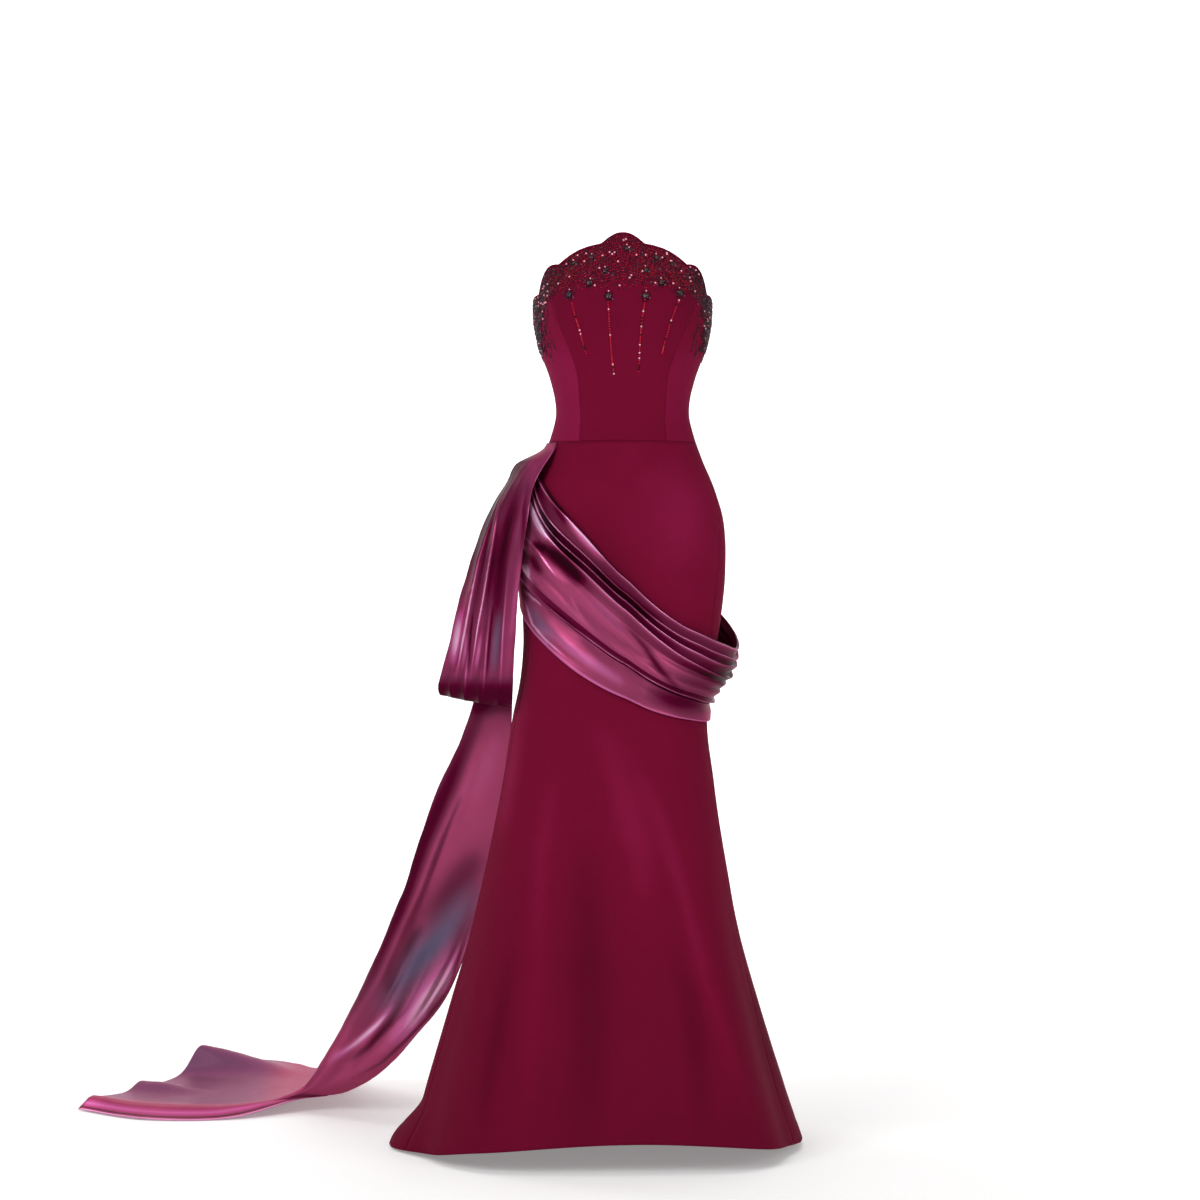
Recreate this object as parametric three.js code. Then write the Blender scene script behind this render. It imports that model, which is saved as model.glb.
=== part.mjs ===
// A strapless evening gown: a boned crepe bodice with a scalloped top, a crepe skirt that is close
// to the hips and flares to the floor, and a satin drape. The drape is a sash wrapped low round the
// hips, a pleated loop at the hip, and a train that falls from behind the loop and trails away.
// Millimetres. +Z is up, the front faces -Y, and +X is to the right of someone facing the gown.
// The origin is the centre of the waist, where the wearer holds the gown up. Angles are in degrees
// round the gown: 0 is the front, 90 the side on +X, and -90 the side on -X.
import * as THREE from "three";

// Driving sizes
const WAIST_SEAM = -46;
const FLOOR = -1195;
const SEAM_GAP = 0.3;
const BODICE_CLOTH = 2;
const SKIRT_CLOTH = 1.6;
const SATIN_CLOTH = 1.3;
const CENTRE_BACK = 180;
const SECTION_POWER = 2.15;
// Rows of faces down the bodice and the skirt, whose rows are closer together at the top.
const BODICE_ROWS = 10;
const SKIRT_ROWS = 20;
const ROW_BEND = 1.25;

const CREPE = { color: "#740c30", roughness: 0.78, metalness: 0 };
const SATIN = { color: "#8c2a58", roughness: 0.3, metalness: 0 };
const STONE = { color: "#1c1420", roughness: 0.12, metalness: 0.3 };
const ZIP_METAL = { color: "#5a0f2c", roughness: 0.35, metalness: 0.6 };

// The garment's outside at each height: half widths to each side, and depths before and behind.
const FIGURE = [
  { z: 310, left: 144, right: 144, front: 95, back: 98 },
  { z: 250, left: 148, right: 148, front: 107, back: 102 },
  { z: 190, left: 145, right: 145, front: 117, back: 105 },
  { z: 145, left: 143, right: 143, front: 118, back: 103 },
  { z: 110, left: 136, right: 136, front: 111, back: 98 },
  { z: 57, left: 118, right: 118, front: 96, back: 84 },
  { z: 24, left: 110, right: 110, front: 88, back: 76 },
  { z: 0, left: 108.5, right: 108.5, front: 85, back: 72 },
  { z: -33, left: 116, right: 116, front: 88, back: 78 },
  { z: -73, left: 130, right: 130, front: 97, back: 92 },
  { z: -110, left: 146, right: 146, front: 104, back: 110 },
  { z: -155, left: 161, right: 161, front: 110, back: 127 },
  { z: -204, left: 168, right: 168, front: 113, back: 137 },
  { z: -253, left: 168, right: 168, front: 114, back: 139 },
  { z: -310, left: 164, right: 163, front: 114, back: 134 },
  { z: -370, left: 162, right: 154, front: 115, back: 129 },
  { z: -430, left: 167, right: 143, front: 118, back: 130 },
  { z: -490, left: 178, right: 138, front: 123, back: 137 },
  { z: -600, left: 195, right: 149, front: 136, back: 160 },
  { z: -720, left: 220, right: 167, front: 153, back: 192 },
  { z: -850, left: 251, right: 191, front: 176, back: 236 },
  { z: -980, left: 288, right: 225, front: 204, back: 290 },
  { z: -1100, left: 322, right: 260, front: 231, back: 348 },
  { z: -1200, left: 347, right: 293, front: 254, back: 404 },
];

// The two cups, moulded into the front by the curved seams.
const CUP = { angle: 33, spread: 21, z: 168, height: 50, out: 13 };

// The seam between the centre front and each side front, and the side seam.
const CURVED_SEAM = [
  { z: -46, angle: 34.5 },
  { z: 20, angle: 38 },
  { z: 60, angle: 36.5 },
  { z: 95, angle: 38 },
  { z: 140, angle: 42 },
  { z: 190, angle: 49 },
  { z: 250, angle: 53 },
];
const SIDE_SEAM = [
  { z: 200, angle: 90 },
  { z: -46, angle: 82 },
  { z: -180, angle: 69 },
  { z: -300, angle: 63 },
  { z: -409, angle: 69 },
  { z: -500, angle: 74 },
  { z: -1195, angle: 81 },
];

// The scallops of the top edge, from the centre front to the side. Each runs from the row above.
const SCALLOPS = [
  { to: 12, z: 267 },
  { to: 42, z: 235, rise: 5.5 },
  { to: 67, z: 190, rise: 16 },
  { to: 104, z: 161, rise: 9 },
];
const TOP_PEAK = 285;
const BACK_TOP = 150;

// Soft flutes of the skirt, largest at the hem. The spread is in degrees each way.
const FLUTES = [
  { angle: -36, spread: 17, out: 17, from: -560 },
  { angle: 4, spread: 20, out: -9, from: -620 },
  { angle: 43, spread: 16, out: 18, from: -560 },
  { angle: 74, spread: 13, out: -10, from: -640 },
  { angle: -72, spread: 12, out: -10, from: -640 },
  { angle: 104, spread: 14, out: 14, from: -620 },
  { angle: 127, spread: 11, out: -18, from: -600 },
  { angle: 150, spread: 14, out: 24, from: -560 },
  { angle: 180, spread: 13, out: -20, from: -600 },
  { angle: 210, spread: 14, out: 26, from: -560 },
  { angle: 233, spread: 10, out: -14, from: -640 },
];
// The low edge spreads at one side, where it meets the ground.
const SWEEP = { angle: 263, spread: 17, out: 40, from: -1110 };

// Height of the hem above the ground: the front clears the toes, and the back trails.
const HEM = [
  { angle: -180, lift: 2 },
  { angle: -115, lift: 2 },
  { angle: -86, lift: 3 },
  { angle: -62, lift: 11 },
  { angle: -38, lift: 29 },
  { angle: 0, lift: 46 },
  { angle: 31, lift: 40 },
  { angle: 58, lift: 24 },
  { angle: 85, lift: 12 },
  { angle: 125, lift: 4 },
  { angle: 180, lift: 2 },
];

// The wrapped sash, from the side on -X across the front, round the back and on to its own start.
// Lift is how far its upper part stands off the skirt, and slack how far its lower edge does.
const SASH = [
  { angle: -91, top: -78, bottom: -292, lift: 0.6, slack: 0.6 },
  { angle: -67, top: -99, bottom: -338, lift: 4, slack: 3.5 },
  { angle: -45, top: -134, bottom: -378, lift: 5, slack: 4 },
  { angle: -21, top: -190, bottom: -423, lift: 6, slack: 4 },
  { angle: 0, top: -262, bottom: -457, lift: 7, slack: 4 },
  { angle: 13, top: -302, bottom: -474, lift: 7, slack: 4 },
  { angle: 30, top: -336, bottom: -487, lift: 8, slack: 3 },
  { angle: 48, top: -355, bottom: -494, lift: 11, slack: 3 },
  { angle: 68, top: -369, bottom: -498, lift: 20, slack: 3 },
  { angle: 90, top: -372, bottom: -494, lift: 32, slack: 3 },
  { angle: 110, top: -344, bottom: -479, lift: 34, slack: 3 },
  { angle: 130, top: -304, bottom: -455, lift: 27, slack: 3 },
  { angle: 155, top: -255, bottom: -418, lift: 14, slack: 3 },
  { angle: 180, top: -208, bottom: -382, lift: 8, slack: 3 },
  { angle: 210, top: -160, bottom: -346, lift: 5, slack: 3 },
  { angle: 240, top: -118, bottom: -316, lift: 4, slack: 3 },
  { angle: 267, top: -82, bottom: -292, lift: 0.6, slack: 0.6 },
];
const SASH_COLUMNS = 40;
const SASH_ENDING = 0.03;
// The share of the band's height over which it falls back from its lift to its slack.
const SASH_FALL = { from: 0.28, to: 0.8 };

// Pleats and troughs down the band: the share of its height where each lies, and how far out it
// stands, at the start, the front, the side on +X, and the back.
const SASH_LINES = [
  { at: [0, 0, 0, 0], out: [0, 0, 0, 0] },
  { at: [0.025, 0.03, 0.035, 0.03], out: [3, 4, 4, 3] },
  { at: [0.07, 0.075, 0.1, 0.08], out: [0, -1, 0, 0] },
  { at: [0.12, 0.13, 0.16, 0.13], out: [4, 5, 6, 5] },
  { at: [0.145, 0.165, 0.21, 0.165], out: [0, 1, 1, 1] },
  { at: [0.17, 0.2, 0.27, 0.2], out: [4, 5, 6, 5] },
  { at: [0.2, 0.235, 0.34, 0.25], out: [0, 1, 1, 1] },
  { at: [0.24, 0.29, 0.41, 0.31], out: [5, 7, 7, 6] },
  { at: [0.33, 0.38, 0.46, 0.38], out: [0, 1, 1, 1] },
  { at: [0.42, 0.47, 0.51, 0.46], out: [5, 3, 6, 4] },
  { at: [0.5, 0.55, 0.56, 0.54], out: [0, 0, 1, 0] },
  { at: [0.6, 0.62, 0.63, 0.62], out: [4, 3, 5, 4] },
  { at: [0.65, 0.665, 0.69, 0.67], out: [0, 1, 1, 1] },
  { at: [0.71, 0.715, 0.76, 0.72], out: [5, 6, 6, 5] },
  { at: [0.75, 0.755, 0.81, 0.77], out: [0, 0, 0, 0] },
  { at: [0.87, 0.87, 0.9, 0.88], out: [2, 3, 2, 2] },
  { at: [1, 1, 1, 1], out: [1, 1, 1, 1] },
];
const SASH_PLACES = [-91, 0, 68, 180, 267];

// The pleated loop at the hip: the plan of its front layer down to the foot, from the inner to the
// outer edge, and of the back layer that comes up behind it.
const LOOP_FRONT = [
  { z: -48, inX: -103, inY: -62, outX: -126, outY: -23 },
  { z: -75, inX: -121, inY: -68, outX: -168, outY: -16 },
  { z: -110, inX: -140, inY: -72, outX: -189, outY: -8 },
  { z: -166, inX: -152, inY: -77, outX: -221, outY: -4 },
  { z: -228, inX: -160, inY: -79, outX: -244, outY: 0 },
  { z: -293, inX: -167, inY: -76, outX: -264, outY: 5 },
  { z: -364, inX: -171, inY: -70, outX: -279, outY: 8 },
  { z: -440, inX: -176, inY: -60, outX: -299, outY: 10 },
];
const LOOP_BACK = [
  { z: -48, inX: -101, inY: -58, outX: -121, outY: -23 },
  { z: -75, inX: -126, inY: -54, outX: -160, outY: 3 },
  { z: -110, inX: -156, inY: -46, outX: -184, outY: 24 },
  { z: -166, inX: -181, inY: -32, outX: -210, outY: 42 },
  { z: -228, inX: -188, inY: -30, outX: -230, outY: 50 },
  { z: -293, inX: -190, inY: -28, outX: -248, outY: 54 },
  { z: -364, inX: -192, inY: -27, outX: -265, outY: 50 },
  { z: -440, inX: -190, inY: -32, outX: -290, outY: 36 },
];
const LOOP = { top: -48, footIn: -462, footOut: -444, drop: 14, belly: 12, pleatDepth: 9 };
// The share across the loop where each pleat has its sharp edge. The cloth is scooped between them.
const LOOP_RIDGES = [0, 0.19, 0.4, 0.6, 0.84, 1];
// Where the columns of faces lie between one edge and the next.
const LOOP_SHARES = [0, 0.25, 0.5, 0.75];
// Where the loop and the train are sewn on: from and to an angle, how far off the skirt, and the
// height over which they then fall clear of it.
const LOOP_SEAT = { from: -84, to: -59, frontOut: 3.9, backOut: 0.6, reach: 34 };
const TRAIN_SEAT = { from: -126, to: -97, out: 1.9, reach: 48 };

// The train from the waist seam to the end that lies on the ground: its far edge, the rolled fold
// along its length, and its near edge. Lie is how flat the part beyond the fold lies.
const TRAIN = [
  { far: [-99, 58, -49], fold: [-112, 38, -49], near: [-119, 12, -49], lie: 1 },
  { far: [-124, 100, -108], fold: [-162, 62, -108], near: [-163, 34, -108], lie: 1 },
  { far: [-154, 134, -175], fold: [-193, 84, -175], near: [-184, 50, -175], lie: 1 },
  { far: [-182, 162, -300], fold: [-224, 106, -300], near: [-190, 72, -300], lie: 1 },
  { far: [-186, 198, -482], fold: [-256, 112, -482], near: [-183, 84, -482], lie: 1 },
  { far: [-215, 268, -640], fold: [-325, 134, -640], near: [-196, 108, -640], lie: 1 },
  { far: [-300, 360, -808], fold: [-383, 180, -808], near: [-235, 140, -808], lie: 1.2 },
  { far: [-392, 490, -985], fold: [-450, 240, -961], near: [-289, 190, -960], lie: 1.6 },
  { far: [-480, 650, -1120], fold: [-514, 308, -1081], near: [-351, 240, -1046], lie: 2.4 },
  { far: [-560, 810, -1186], fold: [-558, 346, -1148], near: [-412, 312, -1116], lie: 3.5 },
  { far: [-615, 895, -1193], fold: [-598, 350, -1169], near: [-482, 370, -1163], lie: 5 },
  { far: [-660, 935, -1193], fold: [-650, 340, -1178], near: [-562, 348, -1172], lie: 6 },
  { far: [-705, 950, -1193], fold: [-730, 330, -1180], near: [-680, 276, -1193], lie: 6 },
  { far: [-750, 950, -1193], fold: [-838, 350, -1178], near: [-826, 276, -1193], lie: 6 },
  { far: [-760, 930, -1193], fold: [-934, 402, -1173], near: [-951, 373, -1193], lie: 6 },
];
const TRAIN_FOLD = 0.66;
const TRAIN_ROLL = 0.07;
// Ridges and troughs of the train: how far across it, how high, and along what share of it.
const TRAIN_RIDGES = [
  { across: 0.13, spread: 0.07, out: 46, from: 0.68, full: 1 },
  { across: 0.43, spread: 0.045, out: 15, from: 0.84, full: 0.97 },
  { across: 0.8, spread: 0.05, out: -16, from: 0.3, full: 0.52, gone: 0.72 },
  { across: 0.92, spread: 0.05, out: 12, from: 0.36, full: 0.52, gone: 0.72 },
  { across: 0.3, spread: 0.07, out: 10, from: 0.1, full: 0.25, gone: 0.6 },
  { across: 0.48, spread: 0.06, out: -8, from: 0.1, full: 0.25, gone: 0.6 },
];
const TRAIN_ACROSS = [
  0, 0.05, 0.09, 0.13, 0.17, 0.22, 0.3, 0.38, 0.43, 0.48, 0.56, 0.62, 0.66, 0.7, 0.75, 0.8, 0.86, 0.92, 1,
];
const TRAIN_ROWS = 26;

// Large flower-shaped stones on the bodice front, by their distance from the centre line.
const FLOWERS = [
  { x: 6, z: 259, size: 9 },
  { x: -50, z: 245, size: 10 },
  { x: 53, z: 245, size: 10 },
  { x: -79, z: 237, size: 9 },
  { x: 78, z: 235, size: 9 },
  { x: -28, z: 223, size: 10 },
  { x: 36, z: 224, size: 10 },
  { x: -53, z: 203, size: 12 },
  { x: 61, z: 204, size: 12 },
  { x: -86, z: 185, size: 14 },
  { x: 90, z: 188, size: 14 },
  { x: -23, z: 182, size: 13 },
  { x: 36, z: 182, size: 13 },
];
const FLOWER = {
  petals: 5, points: 20, petalDepth: 0.34, height: 0.3, shoulder: 0.78, shoulderHeight: 0.7, clear: 0.5,
};

// The closure at the top of the centre back seam.
const ZIP = { top: 138, width: 2.4, height: 8, plate: 1.8, gap: 2.2, beam: 1.2, post: 1.4, clear: 0.4 };
const PULL = { length: 22, width: 6, thick: 1.2, bar: 1.2, window: 6.2, side: 1.1, lower: 1.2 };

// Small helpers
const radians = (degrees) => (degrees * Math.PI) / 180;
const mix = (a, b, share) => a + (b - a) * share;
const power = (value, exponent) => Math.sign(value) * Math.abs(value) ** exponent;
const bell = (distance, spread) => Math.exp(-((distance / spread) ** 2));
const shares = (count, bend = 1) => Array.from({ length: count + 1 }, (_, i) => (i / count) ** bend);
const turnBetween = (a, b) => Math.abs(((((a - b) % 360) + 540) % 360) - 180);

function ease(low, high, value) {
  const share = Math.min(1, Math.max(0, (value - low) / (high - low)));
  return share * share * (3 - 2 * share);
}

// A smooth curve through values ys at places xs.
function curve(xs, ys) {
  const order = xs.map((_, i) => i).sort((a, b) => xs[a] - xs[b]);
  const x = order.map((i) => xs[i]);
  const y = order.map((i) => ys[i]);
  const last = x.length - 1;
  const slope = (i) => (y[i + 1] - y[i]) / (x[i + 1] - x[i]);
  const tangents = x.map((_, i) => {
    if (i === 0) return slope(0);
    if (i === last) return slope(last - 1);
    const before = x[i] - x[i - 1];
    const after = x[i + 1] - x[i];
    return (slope(i - 1) * after + slope(i) * before) / (before + after);
  });
  return (at) => {
    let i = 0;
    while (i < last - 1 && at > x[i + 1]) i += 1;
    const width = x[i + 1] - x[i];
    const t = Math.min(1, Math.max(0, (at - x[i]) / width));
    const bends = tangents[i] * (1 - t) - tangents[i + 1] * t;
    return mix(y[i], y[i + 1], t * t * (3 - 2 * t)) + width * t * (1 - t) * bends;
  };
}

const tableCurve = (rows, x, y) => curve(rows.map((row) => row[x]), rows.map((row) => row[y]));

function tableCurves(rows, x, names) {
  return Object.fromEntries(names.map((name) => [name, tableCurve(rows, x, name)]));
}

// The garment's outside
const figure = tableCurves(FIGURE, "z", ["left", "right", "front", "back"]);
const curvedSeam = tableCurve(CURVED_SEAM, "z", "angle");
const sideSeam = tableCurve(SIDE_SEAM, "z", "angle");
const hemLift = tableCurve(HEM, "angle", "lift");
const hemAt = (angle) => FLOOR + hemLift(angle > CENTRE_BACK ? angle - 360 : angle);

// How far the cups and the flutes stand out of the plain section.
function relief(angle, z) {
  let out = 0;
  for (const side of [-1, 1]) {
    const turn = bell(turnBetween(angle, side * CUP.angle), CUP.spread);
    out += CUP.out * turn * bell(z - CUP.z, CUP.height);
  }
  for (const flute of FLUTES) {
    out += flute.out * ease(flute.from, FLOOR, z) * bell(turnBetween(angle, flute.angle), flute.spread);
  }
  const sweep = bell(turnBetween(angle, SWEEP.angle), SWEEP.spread);
  return out + SWEEP.out * ease(SWEEP.from, FLOOR, z) * sweep;
}

function outside(angle, z) {
  const sine = Math.sin(radians(angle));
  const cosine = Math.cos(radians(angle));
  const half = sine < 0 ? figure.left(z) : figure.right(z);
  const depth = cosine > 0 ? figure.front(z) : figure.back(z);
  const out = relief(angle, z);
  const exponent = 2 / SECTION_POWER;
  return new THREE.Vector3(
    half * power(sine, exponent) + out * sine,
    -depth * power(cosine, exponent) - out * cosine,
    z,
  );
}

function normalAt(angle, z) {
  const turn = outside(angle + 0.5, z).sub(outside(angle - 0.5, z));
  const rise = outside(angle, z + 1).sub(outside(angle, z - 1));
  return turn.cross(rise).normalize();
}

// A point moved out from the garment's outside, square to it.
const layered = (angle, z, out) => outside(angle, z).addScaledVector(normalAt(angle, z), out);

function topEdge(angle) {
  const from = turnBetween(angle, 0);
  let start = { to: -SCALLOPS[0].to, z: SCALLOPS[0].z };
  for (const scallop of SCALLOPS) {
    if (from <= scallop.to) {
      const share = (from - start.to) / (scallop.to - start.to);
      const rise = scallop.rise ?? TOP_PEAK - scallop.z;
      return mix(start.z, scallop.z, share) + rise * Math.sin(Math.PI * share);
    }
    start = scallop;
  }
  return mix(start.z, BACK_TOP, ease(start.to, CENTRE_BACK, from));
}

// A point of hanging cloth, drawn in to the garment where it is sewn on along its top.
function seated(place, seat, u, top, out) {
  const sewn = layered(mix(seat.from, seat.to, u), place.z, out);
  return sewn.lerp(place, ease(0, seat.reach, top - place.z));
}

// Half a seam's gap, in degrees at a place on the outside.
function halfGap(angle, z) {
  return (0.5 * SEAM_GAP) / outside(angle + 0.5, z).distanceTo(outside(angle - 0.5, z));
}

// Cloth walls: a closed solid between an outer and an inner grid of points. Columns run round the
// gown from -X to +X as seen from the front, and rows run down.
function wall(name, outer, inner, columns, finish) {
  const rows = outer.length / columns;
  const layer = outer.length;
  const faces = [];
  const quad = (a, b, c, d) => faces.push(a, b, c, a, c, d);
  const skirting = (a, b) => quad(a, b, layer + b, layer + a);
  for (let j = 0; j < rows - 1; j += 1) {
    for (let i = 0; i < columns - 1; i += 1) {
      const a = j * columns + i;
      const below = a + columns;
      quad(below, below + 1, a + 1, a);
      quad(layer + a, layer + a + 1, layer + below + 1, layer + below);
    }
    skirting((j + 1) * columns, j * columns);
    skirting((j + 1) * columns - 1, (j + 2) * columns - 1);
  }
  const low = (rows - 1) * columns;
  for (let i = 0; i < columns - 1; i += 1) {
    skirting(i, i + 1);
    skirting(low + i + 1, low + i);
  }
  const positions = [...outer, ...inner].flatMap((point) => point.toArray());
  const geometry = new THREE.BufferGeometry();
  geometry.setAttribute("position", new THREE.Float32BufferAttribute(positions, 3));
  geometry.setIndex(faces);
  geometry.computeVertexNormals();
  const mesh = new THREE.Mesh(geometry, new THREE.MeshStandardMaterial(finish));
  mesh.name = name;
  return mesh;
}

// A panel that lies in the garment's outside, between two seams and two edges. Each side is given
// by its angle at a height, and each edge by its height at an angle.
function panel(name, sides, edges, across, down, thickness, finish) {
  const outer = [];
  const inner = [];
  for (const v of down) {
    for (const u of across) {
      let z = mix(edges.top(0), edges.bottom(0), v);
      let angle = 0;
      for (let pass = 0; pass < 4; pass += 1) {
        const low = sides.low(z);
        const high = sides.high(z);
        angle = mix(low + halfGap(low, z), high - halfGap(high, z), u);
        z = mix(edges.top(angle), edges.bottom(angle), v);
      }
      outer.push(layered(angle, z, 0));
      inner.push(layered(angle, z, -thickness));
    }
  }
  return wall(name, outer, inner, across.length, finish);
}

// Cloth that hangs free: its inner face follows the slope of its outer grid.
function freeCloth(name, across, down, at, finish) {
  const columns = across.length;
  const rows = down.length;
  const outer = down.flatMap((v) => across.map((u) => at(u, v)));
  const point = (i, j) => {
    const row = Math.min(rows - 1, Math.max(0, j));
    return outer[row * columns + Math.min(columns - 1, Math.max(0, i))];
  };
  const inner = outer.map((place, index) => {
    const i = index % columns;
    const j = Math.floor(index / columns);
    const along = point(i + 1, j).clone().sub(point(i - 1, j));
    const onward = point(i, j + 1).clone().sub(point(i, j - 1));
    return place.clone().addScaledVector(along.cross(onward).normalize(), SATIN_CLOTH);
  });
  return wall(name, outer, inner, columns, finish);
}

// Bodice: a centre front, two side fronts and two backs
const waistAbove = () => WAIST_SEAM + SEAM_GAP / 2;
const bodiceEdges = { top: topEdge, bottom: waistAbove };
const mirrored = (seam) => (z) => -seam(z);
const centreBack = () => CENTRE_BACK;
const centreBackLeft = () => -CENTRE_BACK;
const shareBetween = (low, high, angles) => angles.map((angle) => (angle - low) / (high - low));

function bodicePanel(name, low, high, across) {
  return panel(name, { low, high }, bodiceEdges, across, shares(BODICE_ROWS), BODICE_CLOTH, CREPE);
}

function bodice() {
  const front = [-53, -50, -46, -42, -36, -30, -24, -18, -12, -8, -4, 0];
  const frontShares = shareBetween(-53, 53, [...front, ...front.slice(0, -1).reverse().map((a) => -a)]);
  const sideFront = shareBetween(53, 90, [53, 57.5, 62, 67, 74, 82, 90]);
  const back = shareBetween(90, 180, [90, 97, 104, 119, 134, 149, 165, 180]);
  const turned = (list) => list.map((share) => 1 - share).reverse();
  return [
    bodicePanel("bodice_front", mirrored(curvedSeam), curvedSeam, frontShares),
    bodicePanel("bodice_side_front_left", mirrored(sideSeam), mirrored(curvedSeam), turned(sideFront)),
    bodicePanel("bodice_side_front_right", curvedSeam, sideSeam, sideFront),
    bodicePanel("bodice_back_left", centreBackLeft, mirrored(sideSeam), turned(back)),
    bodicePanel("bodice_back_right", sideSeam, centreBack, back),
  ];
}

// Skirt: a front and two backs that meet at the centre back
const skirtEdges = { top: () => WAIST_SEAM - SEAM_GAP / 2, bottom: hemAt };

function skirtPanel(name, low, high, columns) {
  const down = shares(SKIRT_ROWS, ROW_BEND);
  return panel(name, { low, high }, skirtEdges, shares(columns), down, SKIRT_CLOTH, CREPE);
}

function skirt() {
  return [
    skirtPanel("skirt_front", mirrored(sideSeam), sideSeam, 26),
    skirtPanel("skirt_back_left", centreBackLeft, mirrored(sideSeam), 18),
    skirtPanel("skirt_back_right", sideSeam, centreBack, 18),
  ];
}

// Sash: one pleated band of satin
const sashAt = tableCurves(SASH, "angle", ["top", "bottom", "lift", "slack"]);
const aroundSash = (values) => curve(SASH_PLACES, [...values, values[0]]);
const sashLines = SASH_LINES.map((line) => ({ at: aroundSash(line.at), out: aroundSash(line.out) }));

function sash() {
  const start = SASH[0].angle;
  const end = SASH[SASH.length - 1].angle;
  const at = (u, line) => {
    const angle = mix(start, end, u);
    const share = sashLines[line].at(angle);
    const off = mix(sashAt.lift(angle), sashAt.slack(angle), ease(SASH_FALL.from, SASH_FALL.to, share));
    const ending = ease(0, SASH_ENDING, Math.min(u, 1 - u));
    const out = off + SATIN_CLOTH + sashLines[line].out(angle) * ending;
    return layered(angle, mix(sashAt.top(angle), sashAt.bottom(angle), share), out);
  };
  const down = SASH_LINES.map((_, line) => line);
  return freeCloth("sash", shares(SASH_COLUMNS), down, at, SATIN);
}

// How deep the cloth of the loop lies, from 0 at the edge of a pleat to 1 between two pleats.
function loopScoop(u) {
  let i = 0;
  while (i < LOOP_RIDGES.length - 2 && u >= LOOP_RIDGES[i + 1]) i += 1;
  const share = (u - LOOP_RIDGES[i]) / (LOOP_RIDGES[i + 1] - LOOP_RIDGES[i]);
  return Math.abs(Math.sin(Math.PI * share));
}

// Loop: a pleated panel that falls from the waist seam, turns at its foot and comes up behind
function loop() {
  const plan = ["inX", "inY", "outX", "outY"];
  const front = tableCurves(LOOP_FRONT, "z", plan);
  const back = tableCurves(LOOP_BACK, "z", plan);
  const across = LOOP_RIDGES.slice(1).flatMap((ridge, i) => {
    return LOOP_SHARES.map((share) => mix(LOOP_RIDGES[i], ridge, share));
  });
  across.push(1);
  const layerPoint = (layer, u, z, belly, pleat, sewnOut) => {
    const inside = new THREE.Vector3(layer.inX(z), layer.inY(z), z);
    const edge = new THREE.Vector3(layer.outX(z), layer.outY(z), z);
    const place = inside.clone().lerp(edge, 1 - u);
    const side = inside.clone().sub(edge).normalize();
    const out = new THREE.Vector3(side.y, -side.x, 0);
    const depth = ease(LOOP.top, -140, z);
    place.addScaledVector(out, depth * (belly * Math.sin(Math.PI * u) + pleat * (1 - loopScoop(u))));
    return seated(place, LOOP_SEAT, u, LOOP.top, sewnOut);
  };
  const frontPoint = (u, z) => layerPoint(front, u, z, LOOP.belly, LOOP.pleatDepth, LOOP_SEAT.frontOut);
  const backPoint = (u, z) => layerPoint(back, u, z, 0, LOOP.pleatDepth / 3, LOOP_SEAT.backOut);
  const at = (u, v) => {
    const foot = mix(LOOP.footOut, LOOP.footIn, u);
    if (v <= 1) return frontPoint(u, mix(LOOP.top, foot, v));
    if (v >= 2) return backPoint(u, mix(foot, LOOP.top, v - 2));
    const turn = Math.PI * (v - 1);
    const place = frontPoint(u, foot).lerp(backPoint(u, foot), (1 - Math.cos(turn)) / 2);
    place.z -= LOOP.drop * Math.sin(turn);
    return place;
  };
  const down = [0, 0.04, 0.09, 0.16, 0.26, 0.38, 0.5, 0.64, 0.78, 0.9, 1, 1.25, 1.5, 1.75];
  const up = [2, 2.14, 2.3, 2.5, 2.7, 2.84, 2.93, 3];
  return freeCloth("bow_loop", across, [...down, ...up], at, SATIN);
}

// Train: a broad panel that falls from behind the loop and lies out along the ground
const trainStations = TRAIN.map((_, row) => row);
const trainTrack = (edge) => {
  const axes = [0, 1, 2].map((axis) => curve(trainStations, TRAIN.map((row) => row[edge][axis])));
  return (row) => new THREE.Vector3(axes[0](row), axes[1](row), axes[2](row));
};
const trainEdges = { far: trainTrack("far"), fold: trainTrack("fold"), near: trainTrack("near") };
const trainLie = curve(trainStations, TRAIN.map((row) => row.lie));

// The plain sheet: straight from edge to fold to edge, rounded over at the fold.
function trainSheet(u, v) {
  const row = v * (TRAIN.length - 1);
  const far = trainEdges.far(row);
  const fold = trainEdges.fold(row);
  const near = trainEdges.near(row);
  const before = fold.clone().sub(far).divideScalar(TRAIN_FOLD);
  const after = near.clone().sub(fold).divideScalar(1 - TRAIN_FOLD);
  const past = u - TRAIN_FOLD;
  const rounded = (past + TRAIN_ROLL) ** 2 / (4 * TRAIN_ROLL);
  const turned = Math.abs(past) < TRAIN_ROLL ? rounded : Math.max(0, past);
  const place = far.clone().addScaledVector(before, u).addScaledVector(after.clone().sub(before), turned);
  if (u < TRAIN_FOLD) {
    const share = Math.max(0, u / TRAIN_FOLD);
    place.z += (fold.z - far.z) * (share ** trainLie(row) - share);
  }
  return seated(place, TRAIN_SEAT, u, TRAIN[0].fold[2], TRAIN_SEAT.out);
}

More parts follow.
